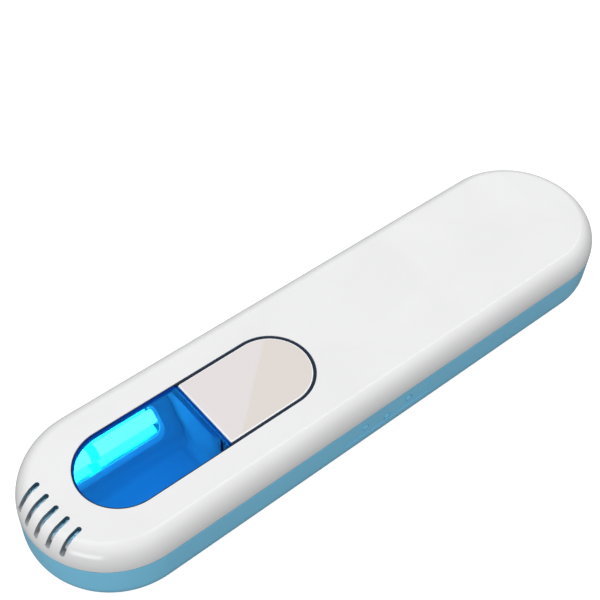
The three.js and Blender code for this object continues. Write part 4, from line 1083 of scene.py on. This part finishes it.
pocket_sides = ((0, 24.8), (0, 25.85), (-0.05, 25.96), (-0.15, CASE_TOP), (-0.15, 28))
pocket = loft([capsule(inset, z, **WINDOW) for inset, z in pocket_sides])
lid = cut(lid, pocket, window_opening(22))
vent_places = []
for index, x in enumerate(VENT_STARTS):
    slot = join(
        block(-VENT_LENGTH, 0, -VENT_RADIUS, VENT_RADIUS, VENT_FLOOR, 28),
        rod_z(VENT_RADIUS, 0, 0, VENT_FLOOR, 28, 32),
        rod_x(VENT_RADIUS, -VENT_LENGTH, 0, 0, VENT_FLOOR, 32),
    )
    y = VENT_PITCH * (index - 2) - 0.3
    vent = Matrix.Translation(Vector((x, y, 0))) @ Matrix.Rotation(math.radians(VENT_TURN), 4, "Z")
    slot.data.transform(vent)
    vent_places.append(vent.inverted())
    lid = cut(lid, slot)
finish_piece(lid, "lid_cover", lid_white, "lid", "lid_shell", sharp=28)

# Painted shade inside the vent slots: mid grey low down, darkening to blue-teal at their upper
# ends, standing in for the shade and the chamber's blue light deep in them.
painted_vent_shade, tree, shader = plastic("vent painted shade", (0.1, 0.18, 0.24), 0.6, grain=1500.0)
along = mapped(tree, axis_of(tree, object_place(tree), "X"), -0.1085, -0.1015)
painted_shading = ramp(tree, along, (0, (0.36, 0.37, 0.38)), (1, (0.03, 0.1, 0.15)))
tree.links.new(painted_shading, shader.inputs["Base Color"])
lid.data.materials.append(painted_vent_shade)


def in_vent(place):
    """Whether a point in a vent's own frame lies on its side, its round end or its floor."""
    on_side = abs(abs(place.y) - VENT_RADIUS) < 0.02 and place.x < 0.1
    on_end = abs(math.hypot(place.x, place.y) - VENT_RADIUS) < 0.02 and place.x > -0.1
    below = math.hypot(place.y, place.z - VENT_FLOOR)
    on_floor = abs(below - VENT_RADIUS) < 0.02 and place.x < 0.1
    return on_side or on_end or on_floor


# Faces on the walls and floors of the vents take the painted shade.
for face in lid.data.polygons:
    centre = face.center * 1000
    near_vents = centre.x < -98 and centre.z > 20
    if near_vents and any(in_vent(vent @ centre) for vent in vent_places):
        face.material_index = 1

# Window in the lid: a clear blue pane over the head chamber and a small mirror beside it.
# Both lie on the thin flange of a navy seal, whose dark lip shows as a fine line round them.
# Low down the seal is a lighter teal: painted light, standing in for the chamber's blue light on
# it.

FLANGE_TOP = 25.1
PLATE_BOTTOM = 25.2
LIP_EDGE = 25.84

seal_navy, tree, shader = plastic(
    "seal rubber", (0.003, 0.011, 0.035), 0.5, uneven=0.1, grain=1800.0
)
shader.inputs["Specular IOR Level"].default_value = 0.2
# Painted light: the seal turns from navy to a lighter teal low down, standing in for the chamber's
# blue light on it.
height = mapped(tree, axis_of(tree, object_place(tree), "Z"), 0.02515, 0.0254)
painted_shading = ramp(tree, height, (0, (0.05, 0.36, 0.52)), (1, (0.004, 0.016, 0.042)))
tree.links.new(painted_shading, shader.inputs["Base Color"])
seal_sides = ((0.1, 24.9), (0.1, LIP_EDGE), (0.2, 25.92))
seal = loft([capsule(inset, z, **WINDOW) for inset, z in seal_sides])
seal_room = loft(
    [capsule(inset, z, **WINDOW) for inset, z in ((0.9, FLANGE_TOP), (0.9, LIP_EDGE), (0.75, 28))]
)
pane_room = common(
    slab(0.3, FLANGE_TOP, 28, **WINDOW),
    block(-140, WINDOW_DIVIDE - 0.5, -30, 30, FLANGE_TOP, 28),
)
mirror_room = common(
    slab(2.1, 24.8, CASE_TOP, **WINDOW), block(WINDOW_DIVIDE + 1.2, 10, -30, 30, 24.8, CASE_TOP)
)
seal = cut(seal, seal_room, pane_room, window_opening(21), mirror_room)
finish_piece(seal, "window_gasket", seal_navy, "lid", "window_seal")


def window_plate(side, inset):
    """One half of the window's filling: the pane at side -1, the mirror at side 1."""
    x0, x1 = sorted((WINDOW_DIVIDE + side * 0.15, WINDOW["middle"] + side * 90))
    return common(
        slab(inset, PLATE_BOTTOM, CASE_TOP, **WINDOW),
        block(x0, x1, -20, 20, PLATE_BOTTOM, CASE_TOP),
    )


pane_blue, tree, shader = new_material("clear blue")
shader.inputs["Transmission Weight"].default_value = 1
shader.inputs["IOR"].default_value = 1.12
place = object_place(tree)
cloud = noise(tree, place, 60.0)
smears = noise(tree, place, 240.0, 3.0)
tint = ramp(tree, cloud, (0, (0.02, 0.35, 0.82)), (1, (0.024, 0.38, 0.85)))
tree.links.new(tint, shader.inputs["Base Color"])
tree.links.new(mapped(tree, smears, 0.0, 1.0, 0.0, 0.03), shader.inputs["Roughness"])
clear = add_node(tree, "ShaderNodeBsdfTransparent", [("Color", (0.05, 0.2, 0.42, 1))])
shadow = add_node(tree, "ShaderNodeLightPath")
mix = add_node(
    tree,
    "ShaderNodeMixShader",
    [("Fac", shadow.outputs["Is Shadow Ray"]), (1, shader.outputs[0]), (2, clear.outputs[0])],
)
tree.links.new(mix.outputs[0], tree.nodes["Material Output"].inputs["Surface"])
pane = window_plate(-1, 0.35)
finish_piece(pane, "window_glass", pane_blue, "lid", "window_pane", bevel=0.12)

mirror_coat, tree, shader = new_material("mirror coat")
shader.inputs["Metallic"].default_value = 1
place = object_place(tree)
cloud = noise(tree, place, 50.0, 3.0)
smears = noise(tree, place, 300.0, 4.0)
# Painted reflection: a diagonal step across the mirror, from a lighter tone to a darker, warmer
# one, along a wavering line.
across = add_node(
    tree, "ShaderNodeVectorMath", [(0, place), (1, (40.0, -45.0, 0.0))], operation="DOT_PRODUCT"
)
painted_reflection_line = add_node(
    tree,
    "ShaderNodeMath",
    [(0, cloud), (1, 0.12), (2, across.outputs["Value"])],
    operation="MULTIPLY_ADD",
)
painted_reflection_split = mapped(tree, painted_reflection_line.outputs[0], -1.6, -0.8)
tint = ramp(tree, painted_reflection_split, (0.48, (0.83, 0.785, 0.78)), (0.56, (0.795, 0.74, 0.7)))
tree.links.new(tint, shader.inputs["Base Color"])
tree.links.new(mapped(tree, smears, 0.0, 1.0, 0.04, 0.14), shader.inputs["Roughness"])
mirror = window_plate(1, 1.0)
finish_piece(
    mirror, "mirror_plate", mirror_coat, "lid", "mirror_panel", bevel=0.55
)
ground_edge, _, _ = plastic("ground edge", (0.95, 0.95, 0.94), 0.3, uneven=0.2, grain=2600.0)
mirror.data.materials.append(ground_edge)
for face in mirror.data.polygons:
    if abs(face.normal.z) < 0.97:
        face.material_index = 1
